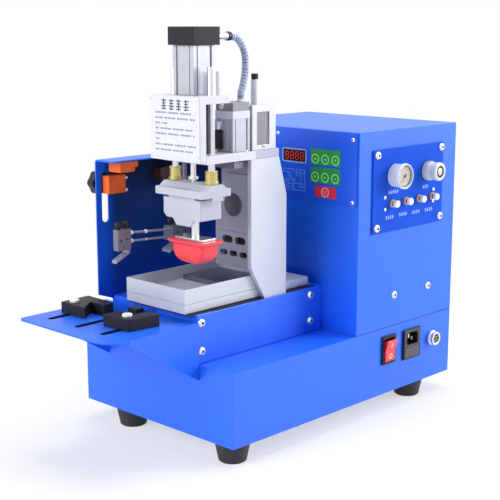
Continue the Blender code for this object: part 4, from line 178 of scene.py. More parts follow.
def power_prop(name, text, watts):
    """The power of a light, in watts, with its default."""
    return FloatProperty(name=name, description=text, unit="POWER", min=0, max=500, default=watts)


class PadPrinterColours(bpy.types.PropertyGroup):
    """Colours of the machine's main finishes."""

    paint: colour_prop("Powder coat", "Blue coat of the sheet-metal case", "#1567F0")
    panel: colour_prop("Panel film", "Blue of the two printed panels", "#145AEA")
    silver: colour_prop("Aluminium", "Blasted aluminium of the column and tray", "#CDD0DC")
    white: colour_prop("Light enamel", "Pale enamel of the head", "#D8D8E2")
    pad: colour_prop("Printing pad", "Silicone of the pad", "#F04A54")
    block: colour_prop("Guard blocks", "Orange of the blocks on the guard", "#E8641C")
    brass: colour_prop("Bushings", "Brass of the guide bushings", "#C9BC7C")
    hose: colour_prop("Air hose", "Blue-grey of the ribbed hose", "#A6B2D0")
    key: colour_prop("Key tiles", "Green of the key tiles", "#149A50")
    key_ring: colour_prop("Key rings", "Light green of the rings round the keys", "#9CEB74")
    stop_key: colour_prop("Stop key", "Red of the lowest key", "#E22C44")
    black: colour_prop("Black parts", "Black of the clamps, cap and knobs", "#1F1F25")


class PadPrinterSizes(bpy.types.PropertyGroup):
    """Sizes of the trim that the solids leave out."""

    case_screw: length_prop("Case screw head", "Diameter of the case screws' heads", 9.4)
    panel_screw: length_prop("Panel screw head", "Diameter of the control panel's screw heads", 5.0)
    hose_root: length_prop("Hose root", "Diameter of the hose between two ribs", 6.4)
    hose_ribs: IntProperty(name="Hose ribs", description="Number of ribs along the hose", min=4, max=60,
                           default=22)
    ring_width: length_prop("Key ring width", "Width of the printed ring on a key", 1.5)
    sheet_round: length_prop("Sheet edge", "Rounding of the painted sheets' edges", 0.7)


class PadPrinterStage(bpy.types.PropertyGroup):
    """Light and backdrop."""

    key_power: power_prop("Key light", "Power of the large soft light", 42.0)
    fill_power: power_prop("Fill light", "Power of the light from the left", 50.0)
    top_power: power_prop("Top light", "Power of the light from above", 38.0)
    room: FloatProperty(name="Room light", description="Brightness of the room around the machine",
                        subtype="FACTOR", min=0, max=1, default=0.22)
    floor: colour_prop("Floor", "Colour of the floor", "#F4F4F6")


# Materials


def add_node(tree, kind, inputs=None, **settings):
    """Add a node, set its properties, and give its inputs values or links."""
    made = tree.nodes.new(kind)
    for name, value in settings.items():
        setattr(made, name, value)
    for socket, source in (inputs or {}).items():
        if isinstance(source, bpy.types.NodeSocket):
            tree.links.new(source, made.inputs[socket])
        else:
            made.inputs[socket].default_value = source
    return made


def finish(name, colour, roughness, grain, depth, metallic=0.0, along=(1, 1, 1), mottle=0.05, patch=25.0,
           vary=0.12, **sockets):
    """A surface with a grain of a real size in millimetres.

    The grain lifts the surface by depth and varies its roughness, along stretches it, and mottle is how
    far the colour strays over patches of the given size.
    """
    found = bpy.data.materials.get(name)
    if found:
        return found
    material = bpy.data.materials.new(name)
    material.use_nodes = True
    tree = material.node_tree
    shader = tree.nodes["Principled BSDF"]
    shader.inputs["Metallic"].default_value = metallic
    for socket, value in sockets.items():
        shader.inputs[socket.replace("_", " ")].default_value = value
    place = add_node(tree, "ShaderNodeTexCoord").outputs["Object"]
    stretched = add_node(tree, "ShaderNodeMapping", {"Vector": place, "Scale": along}).outputs["Vector"]
    fine = add_node(tree, "ShaderNodeTexNoise", {"Vector": stretched, "Scale": 1 / (grain * MM),
                                                 "Detail": 3.0, "Roughness": 0.55}).outputs["Fac"]
    broad = add_node(tree, "ShaderNodeTexNoise", {"Vector": place, "Scale": 1 / (patch * MM),
                                                  "Detail": 2.0}).outputs["Fac"]
    both = add_node(tree, "ShaderNodeMix", {"Factor": 0.35, "A": broad, "B": fine}).outputs["Result"]
    dark = (*[v * (1 - mottle) for v in colour], 1)
    light = (*[min(v * (1 + mottle) + mottle / 40, 1) for v in colour], 1)
    shade = add_node(tree, "ShaderNodeMapRange", {"Value": both, "From Min": 0.3, "From Max": 0.7})
    tint = add_node(tree, "ShaderNodeMix", {"Factor": shade.outputs["Result"]}, data_type="RGBA")
    tint.inputs["A"].default_value = dark
    tint.inputs["B"].default_value = light
    rough = add_node(tree, "ShaderNodeMapRange", {
        "Value": fine, "From Min": 0.3, "From Max": 0.7,
        "To Min": roughness * (1 - vary), "To Max": min(roughness * (1 + vary), 1)})
    bump = add_node(tree, "ShaderNodeBump", {"Height": fine, "Distance": depth * MM, "Strength": 1.0})
    tree.links.new(tint.outputs["Result"], shader.inputs["Base Color"])
    tree.links.new(rough.outputs["Result"], shader.inputs["Roughness"])
    tree.links.new(bump.outputs["Normal"], shader.inputs["Normal"])
    return material


def powder_coat():
    """Textured epoxy powder coat on sheet steel: a fine orange peel that glitters a little."""
    return finish("blue_powder_coat", bpy.context.scene.pad_printer_colours.paint, 0.40, 1.5, 0.11,
                  mottle=0.10, patch=4.0, vary=0.2, IOR=1.52)


def panel_film():
    """Printed polycarbonate film on the panels: satin and even."""
    return finish("blue_panel_film", bpy.context.scene.pad_printer_colours.panel, 0.34, 0.9, 0.012,
                  mottle=0.03, IOR=1.58)


def blasted_aluminium():
    """Bead-blasted, clear anodised aluminium plate: pale, matt and slightly cold."""
    return finish("blasted_aluminium", bpy.context.scene.pad_printer_colours.silver, 0.45, 0.7, 0.012,
                  metallic=0.25, mottle=0.03, patch=40.0)


def drawn_aluminium():
    """Extruded aluminium profile: fine draw lines run along its length."""
    return finish("drawn_aluminium", linear("#B9BAC4"), 0.36, 0.6, 0.014, metallic=0.3,
                  along=(1, 1, 0.03), patch=12.0)


def milled_aluminium():
    """Face-milled aluminium: cutter lines run across the plate."""
    return finish("milled_aluminium", linear("#AEB1C2"), 0.36, 0.5, 0.010, metallic=0.6,
                  along=(0.05, 1, 1), patch=18.0)


def light_enamel():
    """Stoved enamel on cast aluminium: pale grey, smooth, with a soft shine."""
    return finish("light_enamel", bpy.context.scene.pad_printer_colours.white, 0.38, 2.2, 0.018,
                  mottle=0.025, patch=30.0, IOR=1.5)


def holder_enamel_painted_shade():
    """The same enamel on the cast pad holder, made a shade greyer as painted shade under the head."""
    return finish("holder_enamel_painted_shade", linear("#BCBECB"), 0.42, 2.2, 0.018, mottle=0.03, patch=30.0, IOR=1.45)


def ground_steel():
    """Hard-chromed, ground guide rod: bright, with very fine rings."""
    return finish("ground_steel", linear("#DCDDE2"), 0.16, 0.25, 0.002, metallic=1.0, along=(0.2, 0.2, 3),
                  mottle=0.03)


def plated_screw():
    """Nickel-plated screw head: bright and slightly milky."""
    return finish("nickel_plated_screw", linear("#E6E7EC"), 0.22, 0.5, 0.004, metallic=0.8, mottle=0.04)


def dark_steel():
    """Lapped printing plate of hardened steel: mid grey, with faint lapping marks."""
    return finish("lapped_steel", linear("#5C5F70"), 0.42, 0.8, 0.004, metallic=0.45, along=(0.15, 1, 1),
                  mottle=0.06, patch=14.0)


def deep_coat():
    """Fine-textured coat of the air panel: deeper and duller than the case."""
    return finish("deep_blue_coat", linear("#1450D0"), 0.7, 1.1, 0.05, mottle=0.06, patch=4.0, IOR=1.2)


def guard_painted_shade():
    """Coat inside the guard with painted shade: the case's blue at the front, darkening to navy further in
    and up.
    """
    material = finish("guard_coat_painted_shade", (1.0, 1.0, 1.0), 0.7, 1.3, 0.06, mottle=0.08, patch=4.0, IOR=1.25)
    tree = material.node_tree
    shader = tree.nodes["Principled BSDF"]
    speckle = shader.inputs["Base Color"].links[0].from_socket
    # Where the painted shade begins and ends, in millimetres
    low, high, front, rear = 145, 265, -8, 6
    parts = add_node(tree, "ShaderNodeSeparateXYZ", {
        "Vector": add_node(tree, "ShaderNodeTexCoord").outputs["Object"]}).outputs
    rise = add_node(tree, "ShaderNodeMapRange", {
        "Value": parts["Z"], "From Min": HERE.z + low * MM, "From Max": HERE.z + high * MM})
    inward = add_node(tree, "ShaderNodeMapRange", {
        "Value": parts["Y"], "From Min": HERE.y + front * MM, "From Max": HERE.y + rear * MM})
    # Painted shade: navy higher up, the case's blue lower down and at the front
    deep = add_node(tree, "ShaderNodeMix", {"Factor": rise.outputs["Result"]}, data_type="RGBA")
    deep.inputs["A"].default_value = (*linear("#1250B4"), 1)
    deep.inputs["B"].default_value = (*linear("#162A52"), 1)
    both = add_node(tree, "ShaderNodeMix", {"Factor": inward.outputs["Result"],
                                            "B": deep.outputs["Result"]}, data_type="RGBA")
    both.inputs["A"].default_value = (*bpy.context.scene.pad_printer_colours.paint, 1)
    tint = add_node(tree, "ShaderNodeMix", {"Factor": 1.0, "A": speckle, "B": both.outputs["Result"]},
                    data_type="RGBA", blend_type="MULTIPLY")
    tree.links.new(tint.outputs["Result"], shader.inputs["Base Color"])
    return material


def slot_painted_shade():
    """Painted shade in the table's slots, on their upright faces and on the strips over them: dull
    blue-black.
    """
    return finish("slot_painted_shade", linear("#060A1C"), 0.8, 0.5, 0.01, mottle=0.15, patch=3.0, IOR=1.08)


def shadow_gap():
    """Dull black in narrow gaps and sockets: painted shade in place of the deep shade there."""
    return finish("gap_painted_shade", linear("#0C0D12"), 0.85, 0.7, 0.03, mottle=0.15, patch=3.0)


def block_steel():
    """Phosphated steel blocks of the scraper: mid grey and dull."""
    return finish("phosphated_steel", linear("#7B7C8C"), 0.45, 0.6, 0.02, metallic=0.7, mottle=0.10,
                  patch=6.0)


def turned_brass():
    """Turned brass: warm, with fine rings from the tool."""
    return finish("turned_brass", bpy.context.scene.pad_printer_colours.brass, 0.28, 0.5, 0.010,
                  metallic=0.85, along=(0.15, 0.15, 3), mottle=0.06, patch=8.0)


def black_anodised():
    """Black anodised aluminium of the clamps, cap and stop block: near black, with a fine matt grain."""
    return finish("black_anodised", bpy.context.scene.pad_printer_colours.black, 0.5, 0.5, 0.012,
                  mottle=0.10, patch=9.0, IOR=1.3)


def moulded_black():
    """Glass-filled nylon of the knobs, the inlet and the switch frame: black with a soft shine."""
    return finish("moulded_nylon", linear("#121216"), 0.4, 0.8, 0.010, mottle=0.08, IOR=1.4)


def rubber():
    """Moulded black rubber: deep and dull, with a faint bloom."""
    return finish("black_rubber", linear("#232326"), 0.72, 0.9, 0.03, mottle=0.18, patch=7.0, IOR=1.52)


def orange_block():
    """Orange cast polyurethane: satin, slightly uneven in colour."""
    return finish("orange_polyurethane", bpy.context.scene.pad_printer_colours.block, 0.44, 1.4, 0.02,
                  mottle=0.07, patch=11.0, IOR=1.5)


def pad_silicone():
    """Cast silicone rubber: soft, light passes a little way in, with a greasy sheen."""
    return finish("red_silicone", bpy.context.scene.pad_printer_colours.pad, 0.36, 2.6, 0.03, patch=9.0,
                  IOR=1.41, Subsurface_Weight=0.25, Subsurface_Radius=(0.004, 0.0012, 0.001),
                  Subsurface_Scale=0.6)


def hose_nylon():
    """Extruded blue-grey nylon hose: satin, with the ribs a little worn."""
    return finish("ribbed_nylon", bpy.context.scene.pad_printer_colours.hose, 0.40, 0.9, 0.015,
                  mottle=0.10, patch=5.0, IOR=1.53)


def rocker_plastic():
    """Red polycarbonate rocker: glossy, and lit through a little."""
    return finish("red_polycarbonate", linear("#F01E28"), 0.18, 1.2, 0.004, IOR=1.58,
                  Subsurface_Weight=0.15, Subsurface_Radius=(0.002, 0.0004, 0.0003), Coat_Weight=0.4)


def print_ink(name, colour, roughness=0.4):
    """Screen-printed ink on the panel film: flat, with the fine grain of the mesh it was printed through."""
    return finish(name, colour, roughness, 0.35, 0.004, patch=5.0)


def light_metal(name, code, metallic=0.0):
    """Die-cast zinc with a satin coat: pale, with soft highlights."""
    return finish(name, linear(code), 0.36, 0.6, 0.006, metallic=metallic, mottle=0.04, patch=10.0)


def display_glow():
    """Lit segments of a red number display."""
    material = finish("red_segments", linear("#B8403C"), 0.4, 0.4, 0.002, mottle=0.1)
    shader = material.node_tree.nodes["Principled BSDF"]
    shader.inputs["Emission Color"].default_value = (*linear("#FF3A2E"), 1)
    shader.inputs["Emission Strength"].default_value = 0.12
    return material


def white_zinc():
    """Bright zinc of nuts and small screws: near white and smooth."""
    return finish("white_zinc", linear("#F2F2F6"), 0.3, 0.5, 0.006, metallic=0.1)


def gauge_glass():
    """Clear window: a thin, glossy pane."""
    return finish("clear_window", (1.0, 1.0, 1.0), 0.03, 3.0, 0.0005, mottle=0.0, IOR=1.45,
                  Transmission_Weight=1.0)


# Finishes of single small pieces: colour, roughness, size and lift of the grain, and what else is set
SMALL_FINISHES = {
    # Orange cast polyurethane block in deep shade: painted shade makes it brown and dull
    "orange_block_painted_shade": ("#3E1E12", 0.6, 1.4, 0.02, {"mottle": 0.1}),
    # Smoked acrylic in front of the digits: dark red and glossy
    "smoked_acrylic": ("#4A0E1A", 0.25, 1.0, 0.002, {"mottle": 0.1, "IOR": 1.49}),
    # Ring between dial and rim: grey and dull, painted shade at the dial's edge
    "dial_rim_shade": ("#6A6670", 0.6, 0.6, 0.01, {"mottle": 0.1}),
    # Turned nuts of a copper alloy: reddish, with a satin surface
    "copper_alloy": ("#C08A6C", 0.34, 0.5, 0.006, {"metallic": 0.3, "mottle": 0.12}),
    # The same alloy, polished: paler
    "pale_copper": ("#ECC8B0", 0.3, 0.5, 0.006, {"metallic": 0.2, "mottle": 0.08}),
    # Tarnished brass collar: dark red-brown
    "dark_brass": ("#5C2A26", 0.4, 0.5, 0.006, {"metallic": 0.2, "mottle": 0.1}),
    # Moulded nylon of the fuse drawer: dark grey
    "grey_nylon": ("#4A4A50", 0.42, 0.8, 0.012, {"mottle": 0.08}),
    # Moulded nylon of the inlet's rim, rubbed by plugs: darker and shinier
    "worn_nylon": ("#3A3A40", 0.34, 0.8, 0.012, {"mottle": 0.1}),
    # Moulded insert of the round socket: greenish grey
    "grey_insert": ("#55584C", 0.5, 0.6, 0.01, {"mottle": 0.1}),
    # The hose between its ribs: darker and dull, painted shade in the grooves
    "hose_groove_shade": ("#66749A", 0.6, 0.8, 0.01, {"mottle": 0.1}),
    # Plain steel rod: dull and bluish
    "dull_rod": ("#9A9AB0", 0.4, 0.4, 0.004, {"metallic": 0.5, "mottle": 0.08}),
    # Cast plug in the column's window: dark grey
    "dark_casting": ("#5C5C66", 0.42, 1.0, 0.02, {"metallic": 0.4, "mottle": 0.12}),
    # Grey plate in the stop bracket's opening: painted shade of its recess, flat and even
    "bracket_recess_painted_shade": ("#86848C", 0.5, 0.5, 0.01, {"metallic": 0.2, "mottle": 0.06}),
    # Brushed aluminium cap: mid grey, with upright lines
    "brushed_cap": ("#84848E", 0.42, 0.5, 0.01, {"metallic": 0.3, "along": (1, 1, 3), "mottle": 0.1}),
    # Root of a zinc-plated thread: pale, a little darker and duller than its crest, as painted shade in the
    # thread
    "thread_root_shade": ("#DCDCE4", 0.4, 0.5, 0.01, {"metallic": 0.1, "mottle": 0.1}),
}


def small_finish(name):
    """One of the finishes that only a single small piece has."""
    code, roughness, grain, depth, settings = SMALL_FINISHES[name]
    return finish(name, linear(code), roughness, grain, depth, **settings)


# Shapes: each function adds to a bmesh and returns it


def spot(axis, first, second, along):
    """A point from its two places across an axis and its place along it."""
    if axis == "X":
        return Vector((along, first, second))
    if axis == "Y":
        return Vector((first, along, second))
    return Vector((first, second, along))


def shape():
    """An empty bmesh."""
    return bmesh.new()


def block(bm, low, high, corner=0.0, axis=None, segments=4):
    """A block between two corners. Its edges along one axis, or all of them, are rounded by corner."""
    low, high = Vector(low), Vector(high)
    room = Matrix.Translation((low + high) / 2) @ Matrix.Diagonal((*(high - low), 1))
    made = bmesh.ops.create_cube(bm, size=1, matrix=room)["verts"]
    edges = list({edge for vert in made for edge in vert.link_edges})
    if axis:
        way = spot(axis, 0, 0, 1)
        edges = [e for e in edges if abs((e.verts[1].co - e.verts[0].co).normalized().dot(way)) > 0.99]
    if corner:
        bmesh.ops.bevel(bm, geom=edges, offset=corner, segments=segments, profile=0.5, affect="EDGES",
                        material=-1, clamp_overlap=True)
    return bm


def drum(bm, axis, first, second, radius, start, end, sides=32):
    """A round bar along an axis."""
    middle = Matrix.Translation(spot(axis, first, second, (start + end) / 2))
    bmesh.ops.create_cone(bm, cap_ends=True, segments=sides, radius1=radius, radius2=radius,
                          depth=end - start, matrix=middle @ TURNS[axis])
    return bm


def lathe(bm, axis, first, second, profile, sides=48):
    """A profile of (radius, place along) turned round an axis."""
    verts = [bm.verts.new(spot(axis, first + radius, second, along)) for radius, along in profile]
    edges = [bm.edges.new(pair) for pair in zip(verts, verts[1:])]
    bmesh.ops.spin(bm, geom=verts + edges, cent=spot(axis, first, second, 0), axis=spot(axis, 0, 0, 1),
                   angle=2 * math.pi, steps=sides, use_merge=True)
    return bm


def washer(inner, outer, low, high):
    """The profile of a flat ring, for lathe."""
    return [(inner, low), (outer, low), (outer, high), (inner, high), (inner, low)]


def raised(seat, profile):
    """A profile with its places along counted from a seat."""
    return [(radius, seat + along) for radius, along in profile]


def slab(bm, outline, axis, start, end):
    """A flat outline pulled along an axis."""
    face = bm.faces.new([bm.verts.new(spot(axis, first, second, start)) for first, second in outline])
    grown = bmesh.ops.extrude_face_region(bm, geom=[face])["geom"]
    moved = [item for item in grown if isinstance(item, bmesh.types.BMVert)]
    bmesh.ops.translate(bm, vec=spot(axis, 0, 0, end - start), verts=moved)
    return bm


def stroke(bm, axis, start, end, width, low, high):
    """A straight bar between two points across an axis."""
    a, b = Vector(start), Vector(end)
    side = (b - a).normalized().orthogonal() * (width / 2)
    return slab(bm, [a + side, b + side, b - side, a - side], axis, low, high)


def knurl(bm, axis, first, second, reach, radius, start, end, count, sides):
    """Thin bars side by side round an axis, as on the grip of a knob."""
    for turn in range(count):
        lean = 2 * math.pi * turn / count
        drum(bm, axis, first + reach * math.cos(lean), second + reach * math.sin(lean), radius, start, end,
             sides)
    return bm


def button_head(bm, axis, first, second, seat, diameter, height, socket=0.34, outward=1, dark=None):
    """A domed screw head with a socket, standing on a seat. The socket's floor goes into dark: a disc of
    painted shade.
    """
    half = diameter / 2
    if dark is not None:
        floor = [seat + outward * height * share for share in (0.46, 0.8)]
        drum(dark, axis, first, second, half * socket * 0.96, min(floor), max(floor), 6)
    hole = half * socket
    profile = [(0.0, 0.45), (1.0, 0.45), (1.02, 0.97), (1.25, 1.0)]
    points = [(hole * r, seat + outward * height * z) for r, z in profile]
    for turn in (18, 36, 54, 72, 90):
        lean = math.radians(turn)
        rise = 0.15 + 0.85 * math.cos(lean)
        points.append((hole * 1.25 + (half - hole * 1.25) * math.sin(lean), seat + outward * height * rise))
    points.append((half, seat + outward * 0.04))
    points.append((0.0, seat + outward * 0.04))
    return lathe(bm, axis, first, second, points, 24)


def finished(bm, name, body, slot, material, rounding=0.0, replaces=(), angle=32):
    """Turn a bmesh in millimetres into a named piece that rides on a body."""
    bmesh.ops.remove_doubles(bm, verts=bm.verts, dist=MERGE)
    bmesh.ops.recalc_face_normals(bm, faces=bm.faces)
    bmesh.ops.scale(bm, vec=(MM, MM, MM), verts=bm.verts)
    bmesh.ops.translate(bm, vec=HERE, verts=bm.verts)
    mesh = bpy.data.meshes.new(name)
    bm.to_mesh(mesh)
    bm.free()
    piece = bpy.data.objects.new(name, mesh)
    bpy.context.scene.collection.objects.link(piece)
    mesh.materials.append(material)
    mesh.shade_smooth()
    if rounding:
        soften(piece, rounding, angle)
    else:
        mesh.set_sharp_from_angle(angle=math.radians(angle))
    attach(piece, body)
    if replaces:
        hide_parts(*replaces)
    return piece


def plain(name, *settings, **more):
    """One of the plain blocks as a finished piece."""
    return finished(block(shape(), *BLOCKS[name]), name, *settings, **more)


def soften(piece, rounding, angle=32):
    """Round the edges of a piece with live modifiers."""
    edge = piece.modifiers.new("round_edges", "BEVEL")
    edge.width = rounding * MM
    edge.segments = 2
    edge.limit_method = "ANGLE"
    edge.angle_limit = math.radians(angle)
    edge.use_clamp_overlap = True
    normals = piece.modifiers.new("even_shading", "WEIGHTED_NORMAL")
    normals.weight = 80


def pierce(bm, *cutters):
    """A bmesh with other bmeshes taken out of it."""
    holders = []
    for item in (bm, *cutters):
        bmesh.ops.recalc_face_normals(item, faces=item.faces)
        mesh = bpy.data.meshes.new("pierced")
        item.to_mesh(mesh)
        item.free()
        holder = bpy.data.objects.new("pierced", mesh)
        bpy.context.scene.collection.objects.link(holder)
        holders.append(holder)
    for cutter in holders[1:]:
        hole = holders[0].modifiers.new("hole", "BOOLEAN")
        hole.operation = "DIFFERENCE"
        hole.solver = "EXACT"
        hole.object = cutter
    evaluated = holders[0].evaluated_get(bpy.context.evaluated_depsgraph_get())
    result = bmesh.new()
    result.from_mesh(evaluated.to_mesh())
    for holder in holders:
        mesh = holder.data
        bpy.data.objects.remove(holder, do_unlink=True)
        bpy.data.meshes.remove(mesh)
    return result


def drilled(bm, axis, places, radius, start, end, sides=32):
    """A bmesh with a round hole at each place."""
    return pierce(bm, *[drum(shape(), axis, *place, radius, start, end, sides) for place in places])


def dress(names, material, rounding=0.4, angle=28):
    """Give solids of the frame a finish, and round their edges with live modifiers."""
    for name in names:
        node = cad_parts[name]
        node.data.materials.clear()
        node.data.materials.append(material)
        node.data.shade_smooth()
        weld = node.modifiers.new("weld", "WELD")
        weld.merge_threshold = MERGE * MM * 5
        flat = node.modifiers.new("flat_faces", "DECIMATE")
        flat.decimate_type = "DISSOLVE"
        flat.angle_limit = math.radians(0.6)
        soften(node, rounding, angle)


def dress_faces(name, material, chosen):
    """Give a solid's faces a second finish where chosen says so of their middle, in mm, and normal."""
    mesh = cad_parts[name].data
    mesh.materials.append(material)
    for face in mesh.polygons:
        if chosen((face.center - HERE) / MM, face.normal):
            face.material_index = 1


# Pieces


class PADPRINTER_OT_case(bpy.types.Operator):
    """Coat on the case, its table and its guard, film on the panels and rubber on the feet"""

    bl_idname = "pad_printer.case"
    bl_label = "Case, table and guard"

    def execute(self, context):
        edge = context.scene.pad_printer_sizes.sheet_round / MM
        dress(("base_shell", "platform", "control_box", "guard"), powder_coat(), edge)
        dress(("bottom_cover", "work_table"), powder_coat(), 0.25)
        dress(("control_panel",), panel_film(), 0.3)
        dress(("pneumatic_panel",), deep_coat(), 0.35)
        # Painted shade on the guard's inner side and the underside of its flange
        dress_faces("guard", guard_painted_shade(), lambda at, out: (
            out.x > 0.9 and at.x < GUARD_FACE or out.z < -0.9 and at.x > GUARD_FACE))
        # Painted shade on the upright faces of the table's slots
        dress_faces("work_table", slot_painted_shade(), lambda at, out: (
            abs(out.z) < 0.3 and at.z > TABLE_UNDER
            and SLOT_FRONT < at.y < SLOT_REAR and SLOTS_LEFT < at.x < SLOTS_RIGHT))
        dress(("foot_front_left", "foot_front_right", "foot_rear_left", "foot_rear_right"), rubber(), 0.8, 40)
        return {"FINISHED"}


class PADPRINTER_OT_metalwork(bpy.types.Operator):
    """Metal and enamel finishes on the column, the head, the tray and the works inside"""

    bl_idname = "pad_printer.metalwork"
    bl_label = "Column, head and tray"

    def execute(self, context):
        dress(("column_side_plate", "stop_bracket", "tray_base", "ink_tray"), blasted_aluminium(), 0.35)
        dress(("arm_plate",), light_enamel(), 0.35)
        dress(("column_channel",), milled_aluminium(), 0.3)
        dress(("head_bracket",), light_enamel(), 0.6)
        # The pad holder's greyer enamel is painted shade
        dress(("holder_top", "holder_body"), holder_enamel_painted_shade(), 0.7)
        dress(("drive_cylinder",), drawn_aluminium(), 0.3)
        dress(("steel_plate",), dark_steel(), 0.3)
        dress(("piston_rod", "pad_stem"), plated_screw(), 0.25, 40)
        dress(("carriage_plate", "scraper_frame", "slide_rail"), block_steel(), 0.3)
        dress(("control_board",), print_ink("green_board", linear("#1E5A34")), 0.15)
        dress(("air_manifold",), turned_brass(), 0.25)
        return {"FINISHED"}


class PADPRINTER_OT_mouldings(bpy.types.Operator):
    """Black finishes on the clamps, the star knob, the switch and the inlet, and colours on the keys"""

    bl_idname = "pad_printer.mouldings"
    bl_label = "Clamps, knobs and keys"

    def execute(self, context):
        colours = context.scene.pad_printer_colours
        dress(("left_clamp", "right_clamp"), black_anodised(), 0.6)
        dress(("star_knob",), moulded_black(), 0.8)
        dress(("switch_bezel", "power_inlet"), moulded_black(), 0.35)
        dress(("rocker",), rocker_plastic(), 0.7)
        dress(tuple(KEYS), print_ink("key_green", colours.key), 0.2, 40)
        dress(("red_key",), print_ink("key_red", colours.stop_key), 0.2, 40)
        return {"FINISHED"}


class PADPRINTER_OT_case_screws(bpy.types.Operator):
    """Screw heads on the case and on the two panels"""

    bl_idname = "pad_printer.case_screws"
    bl_label = "Case screws"

    def execute(self, context):
        sizes = context.scene.pad_printer_sizes
        case, panel, bracket, sockets = shape(), shape(), shape(), shape()
        for x, y, z in HOUSING_SCREWS + BOX_SCREWS + AIR_PANEL_SCREWS:
            button_head(case, "X", y, z, x, sizes.case_screw / MM, 2.7, dark=sockets)
        for x, z in PANEL_SCREWS:
            button_head(panel, "Y", x, z, PANEL_FACE, sizes.panel_screw / MM, 1.7, outward=-1, dark=sockets)
        for y, z in BRACKET_SCREWS:
            button_head(bracket, "X", y, z, AIR_FACE, 4.4, 1.6, 0.3)
        finished(case, "case_screws", "frame", "control_box", plated_screw())
        # Dark discs on the sockets' floors: painted shade
        finished(sockets, "screw_socket_shade", "frame", "control_box", shadow_gap())
        finished(panel, "panel_screws", "frame", "control_panel", plated_screw())
        finished(bracket, "bracket_screws", "frame", "pneumatic_panel", plated_screw())
        return {"FINISHED"}


class PADPRINTER_OT_guard_blocks(bpy.types.Operator):
    """Two orange blocks, a third in brown as painted shade, and two screws on the guard's inner face"""

    bl_idname = "pad_printer.guard_blocks"
    bl_label = "Guard blocks"

    def execute(self, context):
        upper = [(-8.0, 269.5), (12.5, 269.5), (12.5, 274.3), (17.0, 274.3), (17.0, 280.6), (-8.0, 280.6)]
        finished(slab(shape(), upper, "X", -61.0, -41.5), "guard_upper_block", "frame", "slot_block",
                 orange_block(), 0.5)
        plain("slot_block_face", "slot_block", "slot_block", orange_block(), 0.5, replaces=("slot_block",))
        # The rear block is orange in shade: its brown is painted shade
        plain("guard_rear_block", "frame", "slot_block", small_finish("orange_block_painted_shade"), 0.5)
        screws = shape()
        for z in (246.4, 259.8):
            button_head(screws, "X", 20.9, z, -67.4, 4.6, 1.8)
        finished(screws, "guard_screws", "frame", "guard", plated_screw())
        return {"FINISHED"}


class PADPRINTER_OT_head_label(bpy.types.Operator):
    """Label plate with dashes and four small screws on the head's front, and a dark strip of painted shade at
    its side
    """

    bl_idname = "pad_printer.head_label"
    bl_label = "Head label plate"

    def execute(self, context):
        carried = ("carriage", "head_bracket")
        low, high = LABEL_FACE - 0.08, LABEL_FACE + 0.02
        plain("label_plate", *carried, print_ink("satin_plate", linear("#D9DAE6"), 0.32), 0.15)
        marks, start, pitch, widest, thick = shape(), 14.0, 11.0, 8.2, 1.3
        for place in range(4):
            x = start + place * pitch
            for z, width in ((339.8, 6.4), (342.6, widest), (345.4, 5.6), (348.2, 7.4)):
                inset = (widest - width) / 2 + (place % 2) * 0.5
                block(marks, (x + inset, low, z), (x + inset + width, high, z + thick))
            block(marks, (x + 3.4, low, 339.4), (x + 4.9, high, 350.4))
        finished(marks, "label_marks", *carried, print_ink("dark_ink", linear("#5C5E6C")))
        lines, margin, top, drop, tall, narrow, wide = shape(), 5.0, 335.6, 5.4, 1.8, 0.7, 2.6
        for row, end in enumerate((62.0, 66.0, 24.0, 66.0, 66.0, 12.0, 66.0, 66.0)):
            x, z = margin, top - row * drop
            for step in range(30):
                width = 2.0 + (step * 7 + row * 5) % 4
                if x + width > end:
                    break
                block(lines, (x, low, z), (x + width, high, z + tall))
                x += width + (wide if (step + row) % 4 == 3 else narrow)
        finished(lines, "label_lines", *carried, print_ink("grey_ink", linear("#8E90A2")))
        screws = shape()
        for x in (-1.4, 67.4):
            for z in (294.6, 350.6):
                button_head(screws, "Y", x, z, LABEL_FACE, 3.0, 0.9, 0.35, outward=-1)
        finished(screws, "label_screws", *carried, plated_screw())
        # Dark strip in the head's seam: painted shade
        plain("head_seam_shade", *carried, shadow_gap(), 0.2)
        return {"FINISHED"}


def grooved_outline(x, y, size, bead, groove, deep, recess):
    """Outline of a square profile: on each side a corner bead, a groove, a set-back face and again."""
    half = size / 2
    side = [(-half, 0), (bead - half, 0), (bead - half, deep), (bead + groove - half, deep),
            (bead + groove - half, recess), (half - bead - groove, recess), (half - bead - groove, deep),
            (half - bead, deep), (half - bead, 0)]
    outline = []
    for quarter in range(4):
        cos, sin = math.cos(quarter * math.pi / 2), math.sin(quarter * math.pi / 2)
        for a, inward in side:
            b = inward - half
            outline.append((x + a * cos - b * sin, y + a * sin + b * cos))
    return outline


def digit_segments(bm, x, z, width, height, front, back):
    """The seven bars of one number."""
    t = width * 0.2
    for rise in (0, height / 2, height):
        stroke(bm, "Y", (x + t * 0.6, z + rise), (x + width - t * 0.6, z + rise), t, front, back)
    for side in (0, width):
        for start in (0, height / 2):
            stroke(bm, "Y", (x + side, z + start + t * 0.6), (x + side, z + start + height / 2 - t * 0.6), t,
                   front, back)


